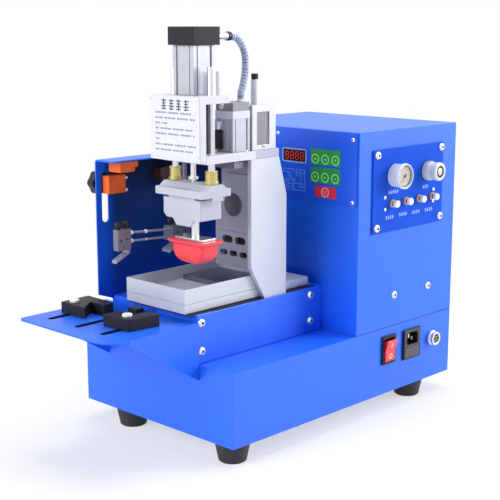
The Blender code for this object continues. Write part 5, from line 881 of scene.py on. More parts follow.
class PADPRINTER_OT_display(bpy.types.Operator):
    """Red number display in its pale frame, with the line drawing below it"""

    bl_idname = "pad_printer.display"
    bl_label = "Number display"

    def execute(self, context):
        carried = ("frame", "control_panel")
        low, high = PANEL_FACE - 0.18, PANEL_FACE - 0.06
        hole = block(shape(), (7.9, 193.0, 270.4), (41.5, 195.0, 283.8), 1.2, "Y")
        rim = pierce(block(shape(), (6.2, 193.75, 269.0), (43.2, 194.15, 285.2), 2.2, "Y"), hole)
        finished(rim, "display_frame", *carried, print_ink("pale_ink", linear("#8CB4F4")))
        plain("display_window", *carried, small_finish("smoked_acrylic"), 0.1)
        digits, start, foot, pitch, width, height = shape(), 11.4, 272.8, 7.6, 4.4, 8.4
        for place in range(4):
            digit_segments(digits, start + place * pitch, foot, width, height, 193.84, 193.93)
        finished(digits, "display_digits", *carried, display_glow())
        drawing = shape()
        for start, end in DRAWING:
            stroke(drawing, "Y", start, end, 0.9, low, high)
        lathe(drawing, "Y", 14.5, 244.5, washer(2.0, 2.8, high, low), 24)
        finished(drawing, "panel_drawing", *carried, print_ink("sky_ink", linear("#5C9CF8")))
        return {"FINISHED"}


class PADPRINTER_OT_keypad(bpy.types.Operator):
    """Green and red tiles round the keys, with a ring and a sign on each key"""

    bl_idname = "pad_printer.keypad"
    bl_label = "Keypad"

    def execute(self, context):
        colours = context.scene.pad_printer_colours
        width = context.scene.pad_printer_sizes.ring_width / MM
        cut = (6.0, PANEL_FACE - 1.2, PANEL_FACE + 0.8)
        low, high = PANEL_FACE - 0.2, PANEL_FACE - 0.05
        tiles = shape()
        for foot, top in ((269.0, 287.0), (248.8, 266.6)):
            block(tiles, (49.6, low, foot), (93.0, high, top), 0.8, "Y")
        finished(drilled(tiles, "Y", KEYS.values(), *cut), "key_tiles", "frame", "key_1_1",
                 print_ink("tile_green", colours.key))
        tile = block(shape(), (56.4, low, 232.6), (87.2, high, 245.6), 0.8, "Y")
        finished(drilled(tile, "Y", (RED_KEY,), *cut), "stop_tile", "frame", "red_key",
                 print_ink("tile_red", colours.stop_key))
        marks = shape()
        for x, z in KEYS.values():
            block(marks, (x - 2.6, 193.9, z + 7.2), (x + 2.6, 193.98, z + 9.6), 0.5, "Y")
        finished(marks, "key_marks", "frame", "key_1_1", print_ink("rust_ink", linear("#6E7A3C")))
        outer, low, high = 5.75, 193.44, 193.58
        for name, (x, z) in {**KEYS, "red_key": RED_KEY}.items():
            sign = lathe(shape(), "Y", x, z, washer(outer - width, outer, low, high), 40)
            for start, end in SIGNS[name]:
                stroke(sign, "Y", (x + start[0], z + start[1]), (x + end[0], z + end[1]), 0.8, low, high)
            ink = (print_ink("pink_ink", linear("#FFA8B4")) if name == "red_key"
                   else print_ink("lime_ink", colours.key_ring))
            finished(sign, name + "_ring", name, name, ink)
        return {"FINISHED"}


class PADPRINTER_OT_gauge(bpy.types.Operator):
    """Pressure gauge: barrel, bright rim, dial with ticks, needle and window"""

    bl_idname = "pad_printer.gauge"
    bl_label = "Pressure gauge"

    def execute(self, context):
        carried = ("frame", "pressure_gauge")
        y, z, seat = 257.0, 257.0, DIAL_SEAT
        case = lathe(shape(), "X", y, z, raised(seat, [
            (0, -14), (5, -14), (5, 0), (12.6, 0), (13.1, 0.5), (13.1, 11.2), (13.3, 11.8), (14.2, 12.2),
            (14.5, 12.8), (14.5, 15.0), (14.2, 16.0), (13.6, 16.5), (12.9, 16.4), (12.5, 15.9), (12.2, 14.2),
            (12.0, 13.2), (0, 13.2)]), 64)
        finished(case, "gauge_case", *carried, light_metal("satin_chrome_case", "#D8DCE6"),
                 replaces=("pressure_gauge",))
        finished(drum(shape(), "X", y, z, 11.9, seat + 13.25, seat + 13.5, 64), "gauge_dial", *carried,
                 print_ink("dial_enamel", linear("#EBDAD2"), 0.3), 0.05)
        # A grey ring round the dial, under the rim: painted shade
        rim_shade = lathe(shape(), "X", y, z, raised(seat, [
            (10.7, 13.52), (11.2, 14.4), (12.25, 14.5), (12.1, 13.3), (10.7, 13.3), (10.7, 13.52)]), 64)
        finished(rim_shade, "gauge_rim_shade", *carried, small_finish("dial_rim_shade"))
        ticks, middle = shape(), Vector((y, z))
        for tick in range(31):
            turn = math.radians(225 - tick * 9)
            way = Vector((math.cos(turn), math.sin(turn)))
            inner, width = (8.2, 0.5) if tick % 5 == 0 else (9.2, 0.28)
            stroke(ticks, "X", middle + way * inner, middle + way * 10.3, width, seat + 13.5, seat + 13.6)
        finished(ticks, "gauge_ticks", *carried, print_ink("black_ink", linear("#2A2A30")))
        turn = math.radians(226)
        way = Vector((math.cos(turn), math.sin(turn)))
        side = Vector((-way.y, way.x)) * 0.75
        needle = slab(shape(), [middle + side - way * 3.4, middle + way * 9.4, middle - side - way * 3.4],
                      "X", seat + 14.3, seat + 14.6)
        drum(needle, "X", y, z, 1.6, seat + 13.5, seat + 15.0, 24)
        finished(needle, "gauge_needle", *carried, moulded_black())
        finished(drum(shape(), "X", y, z, 12.3, seat + 15.2, seat + 15.7, 64), "gauge_window", *carried,
                 gauge_glass(), 0.1)
        return {"FINISHED"}


class PADPRINTER_OT_regulator(bpy.types.Operator):
    """Waisted regulator knob with a dark ring and a pale centre"""

    bl_idname = "pad_printer.regulator"
    bl_label = "Regulator knob"

    def execute(self, context):
        name = "regulator_knob"
        y, z, seat = 320.0, 256.5, DIAL_SEAT
        grip = lathe(shape(), "X", y, z, raised(seat, [
            (0, -8), (5, -8), (5, 0), (10.6, 0), (11.2, 0.6), (11.2, 5.8), (11.0, 7.0), (10.2, 9.0),
            (9.7, 10.6), (9.7, 11.6), (10.0, 12.6), (10.6, 13.6), (10.7, 17.4), (10.2, 18.6), (9.2, 19.0),
            (7.3, 18.9), (6.9, 18.4), (6.8, 17.2), (0, 17.2)]), 64)
        finished(grip, "regulator_grip", name, name, light_metal("satin_zinc_grip", "#D2D8D6"),
                 replaces=(name,))
        finished(knurl(shape(), "X", y, z, 11.2, 0.28, seat + 1.0, seat + 5.6, 40, 8), "regulator_ribs",
                 name, name, light_metal("satin_zinc_ribs", "#BEC4C2"))
        ring = lathe(shape(), "X", y, z, raised(seat, [(4.6, 17.2), (4.7, 18.2), (6.6, 18.2), (6.75, 17.2)]))
        finished(ring, "regulator_ring", name, name, moulded_black())
        centre = lathe(shape(), "X", y, z, raised(seat, [
            (0, 18.7), (3.4, 18.6), (4.3, 18.2), (4.5, 17.3)]), 40)
        finished(centre, "regulator_centre", name, name, light_metal("satin_zinc_centre", "#DCD6DC", 0.5))
        return {"FINISHED"}


class PADPRINTER_OT_flow_valves(bpy.types.Operator):
    """Nuts and sleeves of the four flow valves, their knurled knobs and the dashes beside them"""

    bl_idname = "pad_printer.flow_valves"
    bl_label = "Flow valves"

    def execute(self, context):
        nuts, sleeves = shape(), shape()
        for place in VALVES.values():
            y = place + VALVE_SHIFT
            drum(nuts, "X", y, VALVE_Z, 5.0, 120.0, 121.3, 6)
            lathe(sleeves, "X", y, VALVE_Z, [
                (0, 121.3), (4.0, 121.3), (4.3, 121.6), (4.3, 122.8), (4.0, 123.1), (0, 123.1)], 32)
        finished(nuts, "valve_nuts", "frame", "air_manifold", small_finish("copper_alloy"), 0.12)
        finished(sleeves, "valve_sleeves", "frame", "air_manifold", small_finish("pale_copper"), 0.1)
        for name, place in VALVES.items():
            y = place + VALVE_SHIFT
            grip = lathe(shape(), "X", y, VALVE_Z, [
                (0, 122.0), (1.75, 122.0), (1.75, 125.0), (3.6, 125.0), (4.0, 125.3), (4.0, 128.8),
                (3.7, 129.4), (2.6, 129.7), (0, 129.7)], 40)
            knurl(grip, "X", y, VALVE_Z, 3.95, 0.24, 125.5, 128.7, 22, 6)
            finished(grip, name + "_grip", name, name, white_zinc(), replaces=(name,))
            finished(lathe(shape(), "X", y, VALVE_Z, washer(1.8, 3.1, 123.2, 124.9), 28), name + "_collar",
                     name, name, small_finish("dark_brass"))
        marks = shape()
        for y, z, count in VALVE_WORDS:
            for place in range(count):
                at = y + place * 3.9
                for rise, width in ((-1.5, 2.2), (0.0, 2.9), (1.5, 1.8)):
                    block(marks, (119.92, at, z + rise - 0.35), (120.0, at + width, z + rise + 0.35))
        finished(marks, "valve_marks", "frame", "pneumatic_panel",
                 print_ink("pale_blue_ink", linear("#BCD0FA")))
        return {"FINISHED"}


def rocker_signs():
    """The bar and the ring printed on the two halves of the rocker's face."""
    lean, reach, rise, lift = math.radians(8.0), 5.0, 12.5, 0.05
    pivot = Vector((117.3, 0, 53.0))
    bulge = rise * math.tan(lean)

    def on_face(half, share, y, lift=0.0):
        """A point of the face: upper or lower half, share from the middle, Y and lift."""
        x, z = reach + bulge * share + lift, half * rise * share
        return Vector((pivot.x + x * math.cos(lean) + z * math.sin(lean), y,
                       pivot.z - x * math.sin(lean) + z * math.cos(lean)))

    bm = shape()
    corners = ((0.3, 254.8), (0.3, 256.2), (0.72, 256.2), (0.72, 254.8))
    face = bm.faces.new([bm.verts.new(on_face(1, share, y, lift)) for share, y in corners])
    grown = bmesh.ops.extrude_face_region(bm, geom=[face])["geom"]
    bmesh.ops.translate(bm, vec=(0.12, 0, 0), verts=[v for v in grown if isinstance(v, bmesh.types.BMVert)])
    slope = (on_face(-1, 1.0, 255.5) - on_face(-1, 0.0, 255.5)).normalized()
    out = slope.cross(Vector((0, 1, 0)))
    if out.x < 0:
        out = -out
    turned = Matrix((Vector((0, 1, 0)), slope, out)).transposed().to_4x4()
    ring = lathe(shape(), "Z", 0, 0, washer(1.9, 3.0, 0, 0.15), 32)
    bmesh.ops.transform(ring, matrix=Matrix.Translation(on_face(-1, 0.52, 255.5, lift)) @ turned,
                        verts=ring.verts)
    mesh = bpy.data.meshes.new("ring")
    ring.to_mesh(mesh)
    ring.free()
    bm.from_mesh(mesh)
    bpy.data.meshes.remove(mesh)
    return bm


class PADPRINTER_OT_mains_fittings(bpy.types.Operator):
    """Signs on the rocker, fuse drawer and pins of the inlet, and the foot switch socket"""

    bl_idname = "pad_printer.mains_fittings"
    bl_label = "Switch, inlet and socket"

    def execute(self, context):
        finished(rocker_signs(), "rocker_signs", "rocker", "rocker",
                 print_ink("white_ink", linear("#FFD8D4")))
        drawer = block(shape(), (120.55, 285.6, 35.4), (121.1, 313.4, 47.6), 0.6, "X")
        block(drawer, (121.0, 295.5, 36.6), (121.5, 303.5, 38.2), 0.3, "X")
        finished(drawer, "fuse_drawer", "frame", "power_inlet", small_finish("grey_nylon"), 0.1)
        hole = block(shape(), (118.0, 288.4, 50.5), (124.0, 310.6, 65.7), 3.4, "X")
        rim = pierce(block(shape(), (120.55, 284.2, 48.4), (121.2, 314.8, 69.0), 1.2, "X"), hole)
        finished(rim, "inlet_rim", "frame", "power_inlet", small_finish("worn_nylon"), 0.15)
        pins, middle_z = shape(), 58.1 - 7.5 / 3
        for step, rise in ((-1, 0), (0, 1), (1, 0)):
            y, z = 299.5 + step * 7.0, middle_z + rise * 4.0
            block(pins, (106.8, y - 1.25, z - 2.3), (115.6, y + 1.25, z + 2.3), 0.5)
        finished(pins, "inlet_pins", "frame", "power_inlet", plated_screw())

        y, z = FOOT_SOCKET
        carried = ("frame", "foot_switch_socket")
        barrel = lathe(shape(), "X", y, z, [
            (0, 106.4), (6.4, 106.4), (6.4, 118.35), (8.5, 118.35), (8.9, 118.8), (8.9, 121.4), (8.4, 121.9),
            (7.5, 122.3), (7.4, 123.2), (7.9, 123.7), (8.3, 124.4), (8.3, 126.2), (7.8, 126.8), (6.3, 126.8),
            (5.7, 126.4), (5.5, 120.9), (0, 120.9)])
        finished(barrel, "socket_barrel", *carried, plated_screw(), replaces=("foot_switch_socket",))
        insert = lathe(shape(), "X", y, z, [
            (0, 124.6), (5.2, 124.6), (5.4, 124.3), (5.4, 121.0), (0, 121.0)], 40)
        finished(insert, "socket_insert", *carried, small_finish("grey_insert"))
        pins = shape()
        for turn in (45, 135, 225, 315):
            lean = math.radians(turn)
            drum(pins, "X", y + 2.9 * math.cos(lean), z + 2.9 * math.sin(lean), 0.9, 124.3, 126.0, 16)
        finished(pins, "socket_pins", *carried, turned_brass(), 0.2)
        return {"FINISHED"}


class PADPRINTER_OT_clamp_screws(bpy.types.Operator):
    """Pale screw heads on the two clamps"""

    bl_idname = "pad_printer.clamp_screws"
    bl_label = "Clamp screws"

    def execute(self, context):
        for name, x in (("left_clamp", SLOT_PLACES[0]), ("right_clamp", SLOT_PLACES[2])):
            screw = lathe(shape(), "Z", x, -63.0, [
                (0, 139.6), (4.6, 139.6), (5.1, 139.3), (5.2, 138.8), (5.2, 136.95), (4.85, 136.95)], 32)
            finished(screw, name + "_screw", name, name, light_metal("zinc_screw", "#F2F2F6", 0.1), 0.15)
        return {"FINISHED"}


class PADPRINTER_OT_table_block(bpy.types.Operator):
    """Small black stop block on the table, and dark strips of painted shade over the table's three slots"""

    bl_idname = "pad_printer.table_block"
    bl_label = "Table stop block"

    def execute(self, context):
        plain("table_stop_block", "frame", "work_table", black_anodised(), 0.4)
        # Dark strips over the slots: painted shade
        strips = shape()
        for x in SLOT_PLACES:
            block(strips, (x - 3.9, SLOT_FRONT, 124.3), (x + 3.9, SLOT_REAR, 124.58), 3.85, "Z", 8)
        finished(strips, "slot_shade_strips", "frame", "work_table", slot_painted_shade())
        return {"FINISHED"}


class PADPRINTER_OT_guide_rods(bpy.types.Operator):
    """Ground guide rods in their brass bushings"""

    bl_idname = "pad_printer.guide_rods"
    bl_label = "Guide rods and bushings"

    def execute(self, context):
        for side, x in ROD_PLACES.items():
            name = f"guide_rod_{side}"
            rod = lathe(shape(), "Z", x, HEAD_Y, [
                (0, 264.5), (3.9, 264.5), (3.9, 380.6), (3.7, 381.8), (3.0, 382.6), (1.6, 383.0),
                (0, 383.0)], 40)
            finished(rod, name + "_bar", "pad_head", name, ground_steel(), replaces=(name,))
            bushing = lathe(shape(), "Z", x, HEAD_Y, [
                (4.0, 264.35), (7.3, 264.35), (7.5, 264.6), (7.5, 267.0), (7.3, 267.3), (6.5, 267.4),
                (6.5, 277.4), (6.1, 278.0), (4.4, 278.0), (4.0, 277.6)], 40)
            finished(bushing, f"bushing_{side}", "pad_head", name, turned_brass())
        return {"FINISHED"}


class PADPRINTER_OT_main_cap(bpy.types.Operator):
    """Profile of the main cylinder, its black cap with screws, and the elbow on the cap's rear face"""

    bl_idname = "pad_printer.main_cap"
    bl_label = "Main cylinder cap"

    def execute(self, context):
        carried = ("carriage", "cylinder_cap")
        cap = block(shape(), (15.4, 10.4, 403.9), (53.2, 48.2, CAP_TOP), 0.8, "Z")
        finished(drilled(cap, "Z", CAP_SCREWS, 3.2, CAP_TOP - 3.3, CAP_TOP + 2.2, 24), "cap_block", *carried,
                 black_anodised(), 0.4, replaces=("cylinder_cap",))
        screws = shape()
        for x, y in CAP_SCREWS:
            lathe(screws, "Z", x, y, raised(CAP_TOP, [
                (0, -2.4), (1.3, -2.4), (1.35, -1.0), (2.6, -1.0), (2.8, -1.3), (2.8, -3.2), (0, -3.2)]), 24)
        finished(screws, "cap_screws", *carried, plated_screw())
        profile = slab(shape(), grooved_outline(34.2, 29.2, 30.6, 4.9, 1.9, 2.4, 0.7), "Z", 354.3, 403.6)
        finished(profile, "main_profile", "carriage", "main_cylinder", drawn_aluminium(), 0.25,
                 replaces=("main_cylinder",))
        x, z = 45.0, 412.4
        stub = lathe(shape(), "Y", x, z, [
            (0, 48.1), (4.4, 48.1), (4.5, 50.8), (3.1, 51.4), (3.1, 61.8), (3.9, 62.4), (3.9, 64.8),
            (0, 64.8)], 36)
        finished(stub, "elbow_stub", *carried, plated_screw())
        ring = lathe(shape(), "Y", x, z, [
            (0, 64.9), (4.2, 64.9), (4.7, 65.5), (4.7, 69.4), (4.3, 70.4), (3.4, 70.8), (0, 70.8)], 36)
        finished(ring, "elbow_ring", *carried, moulded_black())
        return {"FINISHED"}


def smooth_points(count):
    """Points spread evenly along the hose's middle line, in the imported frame's metres."""
    pieces = 12
    route = [Vector(point) for point in HOSE_ROUTE]
    inner = route[1:-1]
    before = inner[1] - Vector((0, 1, 0)) * 2 * (inner[1] - inner[0]).length
    after = inner[-2] + Vector((0, 0, -1)) * 2 * (inner[-1] - inner[-2]).length
    padded = [before, *inner, after]
    fine = [route[0]]
    for index in range(1, len(padded) - 2):
        p0, p1, p2, p3 = padded[index - 1:index + 3]
        for step in range(pieces):
            t = step / pieces
            fine.append(0.5 * (2 * p1 + (p2 - p0) * t + (2 * p0 - 5 * p1 + 4 * p2 - p3) * t ** 2
                               + (3 * p1 - p0 - 3 * p2 + p3) * t ** 3))
    fine += route[-2:]
    lengths = [0.0]
    for a, b in zip(fine, fine[1:]):
        lengths.append(lengths[-1] + (b - a).length)
    spread = []
    for index in range(count):
        want = lengths[-1] * index / (count - 1)
        reached = max(i for i in range(len(fine) - 1) if lengths[i] <= want)
        share = (want - lengths[reached]) / (lengths[reached + 1] - lengths[reached])
        spread.append(HERE + fine[reached].lerp(fine[reached + 1], min(share, 1)) * MM)
    return spread


class PADPRINTER_OT_hose(bpy.types.Operator):
    """Ribbed air hose from the main cap to the scraper cylinder"""

    bl_idname = "pad_printer.hose"
    bl_label = "Air hose"

    def execute(self, context):
        sizes = context.scene.pad_printer_sizes
        # Height of the hose's wall over one rib and one groove, as shares
        rib = (1.0, 1.0, 1.0, 0.97, 0.8, 0.0, 0.0, 0.8, 0.97, 1.0)
        groove = (5, 6)
        count = sizes.hose_ribs * len(rib) + 1
        crest, root = 3.75 * MM, sizes.hose_root / 2
        curve = bpy.data.curves.new("hose_line", "CURVE")
        curve.dimensions = "3D"
        curve.bevel_depth = crest
        curve.bevel_resolution = 6
        curve.use_fill_caps = True
        spline = curve.splines.new("POLY")
        spline.points.add(count - 1)
        points = smooth_points(count)
        tree = KDTree(count)
        for index, point in enumerate(points):
            spline.points[index].co = (*point, 1)
            spline.points[index].radius = (root + (crest - root) * rib[index % len(rib)]) / crest
            tree.insert(point, index)
        tree.balance()
        line = bpy.data.objects.new("hose_line", curve)
        context.scene.collection.objects.link(line)
        mesh = bpy.data.meshes.new_from_object(line.evaluated_get(context.evaluated_depsgraph_get()))
        bpy.data.objects.remove(line, do_unlink=True)
        mesh.name = "ribbed_hose"
        piece = bpy.data.objects.new("ribbed_hose", mesh)
        context.scene.collection.objects.link(piece)
        mesh.materials.clear()
        mesh.materials.append(hose_nylon())
        mesh.materials.append(small_finish("hose_groove_shade"))
        # Painted shade: the faces between the ribs get the darker finish
        for face in mesh.polygons:
            if tree.find(face.center)[1] % len(rib) in groove:
                face.material_index = 1
        mesh.shade_smooth()
        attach(piece, "carriage")
        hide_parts("hose")
        nut = lathe(shape(), "Z", 53.0, 78.0, [
            (0, 345.4), (4.6, 345.4), (4.6, 347.2), (4.2, 347.8), (3.8, 347.8)], 36)
        finished(nut, "hose_nut", "carriage", "scraper_cylinder", plated_screw())
        return {"FINISHED"}


class PADPRINTER_OT_printing_pad(bpy.types.Operator):
    """Soft red pad: a rounded flange over a loaf-shaped body"""

    bl_idname = "pad_printer.printing_pad"
    bl_label = "Printing pad"

    def execute(self, context):
        bm = shape()
        top = Matrix.Translation((PAD_X, HEAD_Y, PAD_TOP)) @ Matrix.Diagonal((55.6, 31.2, 1, 1))
        made = bmesh.ops.create_grid(bm, x_segments=8, y_segments=5, size=0.5, matrix=top)
        faces = list({face for vert in made["verts"] for face in vert.link_faces})
        wide, deep, level = 1.0, 1.0, PAD_TOP
        for new_wide, new_deep, new_level in PAD_RINGS:
            grown = bmesh.ops.extrude_face_region(bm, geom=faces)["geom"]
            if level < PAD_TOP:
                bmesh.ops.delete(bm, geom=faces, context="FACES_ONLY")
            moved = [item for item in grown if isinstance(item, bmesh.types.BMVert)]
            faces = [item for item in grown if isinstance(item, bmesh.types.BMFace)]
            bmesh.ops.translate(bm, vec=(-PAD_X, -HEAD_Y, new_level - level), verts=moved)
            bmesh.ops.scale(bm, vec=(new_wide / wide, new_deep / deep, 1), verts=moved)
            bmesh.ops.translate(bm, vec=(PAD_X, HEAD_Y, 0), verts=moved)
            wide, deep, level = new_wide, new_deep, new_level
        piece = finished(bm, "silicone_pad", "pad_head", "printing_pad", pad_silicone(),
                         replaces=("printing_pad",), angle=180)
        skin = piece.modifiers.new("smooth_skin", "SUBSURF")
        skin.levels = skin.render_levels = 2
        return {"FINISHED"}


class PADPRINTER_OT_scraper(bpy.types.Operator):
    """Scraper blocks with their screws, thin rods, blades and black thumbscrews"""

    bl_idname = "pad_printer.scraper"
    bl_label = "Scraper linkage"

    def execute(self, context):
        carried = ("scraper", "scraper_carrier")
        front = block(shape(), (-32.0, -27.5, 190.0), (-24.0, -9.7, 212.6))
        cuts = [drum(shape(), "X", y, z, 1.1, -29.0, -20.0, 20) for y, z in ((-23.0, 200.5), (-14.5, 201.5))]
        slit = block(shape(), (-40.0, -19.4, 189.0), (-20.0, -18.8, 194.0))
        finished(pierce(front, *cuts, slit), "scraper_front_block", *carried, block_steel(), 0.35,
                 replaces=("scraper_carrier",))
        rear = block(shape(), (-38.0, 48.5, 191.0), (-24.0, 75.6, 207.0))
        finished(drilled(rear, "X", ((57.5, 199.5), (69.0, 200.5)), 1.2, -28.5, -20.0, 20),
                 "scraper_rear_block", *carried, block_steel(), 0.35)
        blades = shape()
        for y, z, start, end in ((-27.5, 190.0, -31.7, -24.3), (48.5, 191.0, -37.7, -24.3)):
            slab(blades, [(y - 2.7, z - 13.0), (y + 2.0, z - 10.6), (y + 16.6, z - 3.6), (y + 16.6, z - 0.05),
                          (y + 12.0, z - 0.05), (y + 12.0, z - 3.0), (y - 2.7, z - 9.8)], "X", start, end)
        finished(blades, "scraper_blades", *carried, light_metal("blade_steel", "#9A9CAE", 0.4), 0.25)
        rods, nuts = shape(), shape()
        # Front and rear height of the two thin rods, and the size of the nut halfway
        for front_z, rear_z, nut in ((207.5, 203.5, 2.2), (198.5, 195.5, 1.6)):
            start, end = Vector((-28.0, -9.6, front_z)), Vector((-28.0, 48.4, rear_z))
            turned = (end - start).normalized().to_track_quat("Z", "Y").to_matrix().to_4x4()
            bmesh.ops.create_cone(rods, cap_ends=True, segments=24, radius1=1.3, radius2=1.3,
                                  depth=(end - start).length,
                                  matrix=Matrix.Translation((start + end) / 2) @ turned)
            for share, radius in ((0.06, 2.5), (0.41, nut)):
                bmesh.ops.create_uvsphere(nuts, u_segments=20, v_segments=12, radius=radius,
                                          matrix=Matrix.Translation(start.lerp(end, share)) @ turned)
        finished(rods, "scraper_rods", *carried, small_finish("dull_rod"), 0.25)
        finished(nuts, "scraper_nuts", *carried, white_zinc())
        screws = shape()
        for x, y, z in ((-28.0, -24.0, 212.6), (-28.0, -13.2, 212.6), (-34.5, 55.5, 207.0)):
            lathe(screws, "Z", x, y, raised(z, [
                (0, 0.02), (1.9, 0.02), (1.9, 1.8), (3.2, 1.9), (3.5, 2.3), (3.5, 7.3), (3.2, 7.8),
                (2.5, 8.0), (2.4, 7.2), (0, 7.2)]), 28)
            knurl(screws, "Z", x, y, 3.4, 0.32, z + 2.6, z + 7.2, 16, 6)
        finished(screws, "scraper_thumbscrews", *carried, moulded_black())
        return {"FINISHED"}


class PADPRINTER_OT_column_details(bpy.types.Operator):
    """Window plug, a dark strip of painted shade in the slot, block and seam of the column, the arm's screws
    and the head's stud
    """

    bl_idname = "pad_printer.column_details"
    bl_label = "Column details"

    def execute(self, context):
        carried = ("carriage", "column_channel")
        plug = lathe(shape(), "Y", 29.4, 232.4, [
            (0, 89.3), (6.0, 89.0), (10.5, 88.5), (12.0, 88.4), (12.5, 88.9), (12.6, 89.95), (11.9, 90.0),
            (11.9, 94.8), (0, 94.8)], 64)
        finished(plug, "window_plug", *carried, small_finish("dark_casting"))
        # Dark strip in the column's slot: painted shade
        plain("column_slot_shade", *carried, shadow_gap(), 0.2)
        plain("column_block", *carried, milled_aluminium(), 0.3)
        plain("column_seam", *carried, block_steel())
        screws = shape()
        for x, y in ARM_SCREWS:
            button_head(screws, "Z", x, y, ARM_TOP, 5.5, 1.6)
        finished(screws, "arm_screws", "carriage", "arm_plate", plated_screw())
        x, y = 58.2, 40.6
        stud = drum(shape(), "Z", x, y, 2.2, 354.1, 378.0, 24)
        for turn in range(13):
            lathe(stud, "Z", x, y, raised(355.0 + turn * 1.7, [(2.15, 0), (2.7, 0.6), (2.15, 1.2)]), 24)
        finished(stud, "head_stud", "carriage", "head_bracket", plated_screw(), 0.15)
        return {"FINISHED"}


class PADPRINTER_OT_cylinder_details(bpy.types.Operator):
    """Profile, cap, switch and fittings of the scraper cylinder, the stop bracket's screw, and a plate of
    painted shade in its opening
    """

    bl_idname = "pad_printer.cylinder_details"
    bl_label = "Scraper cylinder details"

    def execute(self, context):
        bracket = ("carriage", "stop_bracket")
        cylinder = ("carriage", "scraper_cylinder")
        socket = shape()
        finished(button_head(shape(), "X", 100.7, 297.6, 64.0, 4.6, 1.0, 0.5, dark=socket), "bracket_screw",
                 *bracket, white_zinc())
        # Grey plate in the bracket's opening: painted shade
        plain("bracket_recess_shade", *bracket, small_finish("bracket_recess_painted_shade"), 0.1)
        # Dark disc in the screw's socket: painted shade
        finished(socket, "bracket_socket_shade", *bracket, shadow_gap())
        profile = slab(shape(), grooved_outline(49.5, 69.5, 25.4, 3.6, 1.6, 1.8, 0.6), "Z", 294.3, 328.3)
        finished(profile, "scraper_profile", *cylinder, drawn_aluminium(), 0.2,
                 replaces=("scraper_cylinder",))
        plain("cap_lower", *cylinder, light_enamel(), 0.3)
        plain("cap_upper", *cylinder, small_finish("brushed_cap"), 0.3)
        plain("position_switch", *cylinder, moulded_black(), 0.3)
        fitting = drum(shape(), "Y", 46.3, 323.6, 2.4, 53.8, 56.7, 24)
        drum(fitting, "Y", 46.3, 323.6, 1.6, 51.4, 53.8, 24)
        drum(fitting, "Z", 46.3, 52.2, 1.5, 317.6, 325.6, 20)
        drum(fitting, "Y", 48.6, 341.0, 2.8, 53.4, 56.7, 24)
        finished(fitting, "speed_fitting", *cylinder, plated_screw(), 0.2)
        finished(drum(shape(), "X", 112.5, 301.9, 1.7, 44.6, 45.6, 24), "bracket_port", *bracket,
                 moulded_black(), 0.1)
        return {"FINISHED"}


class PADPRINTER_OT_tray_gap_shade(bpy.types.Operator):
    """Black strip of painted shade in the gap under the tray"""

    bl_idname = "pad_printer.tray_tape"
    bl_label = "Painted shade under the tray"

    def execute(self, context):
        plain("tray_tape", "frame", "tray_base", shadow_gap())
        return {"FINISHED"}


class PADPRINTER_OT_stop_screw(bpy.types.Operator):
    """Threaded stop screw with its black end"""

    bl_idname = "pad_printer.stop_screw"
    bl_label = "Stop screw"

    def execute(self, context):
        name = "stop_screw"
        thread = shape()
        for turn in range(27):
            lathe(thread, "Z", *STOP_SCREW, raised(312.6 + turn * 2.0, [
                (3.7, 0), (4.7, 0.35), (4.7, 0.95), (3.7, 1.3), (3.7, 0)]), 36)
        finished(thread, "stop_thread", name, name, white_zinc(), replaces=(name,), angle=60)
        # The thread's core, a little darker than the crests: painted shade between them
        finished(drum(shape(), "Z", *STOP_SCREW, 3.9, 312.0, 367.4, 36), "stop_core", name, name,
                 small_finish("thread_root_shade"))
        end = lathe(shape(), "Z", *STOP_SCREW, [
            (0, 367.5), (3.75, 367.5), (3.75, 372.8), (3.2, 373.4), (0, 373.4)], 32)
        finished(end, "stop_end", name, name, moulded_black())
        return {"FINISHED"}


def direct_rays(tree):
    """A value of 1 for rays from the camera, in a reflection or through glass, and 0 for the others."""
    path = add_node(tree, "ShaderNodeLightPath").outputs
    seen = add_node(tree, "ShaderNodeMath", {0: path["Is Camera Ray"], 1: path["Is Glossy Ray"]},
                    operation="ADD")
    return add_node(tree, "ShaderNodeMath", {0: seen.outputs[0], 1: path["Is Transmission Ray"]},
                    operation="ADD", use_clamp=True).outputs[0]


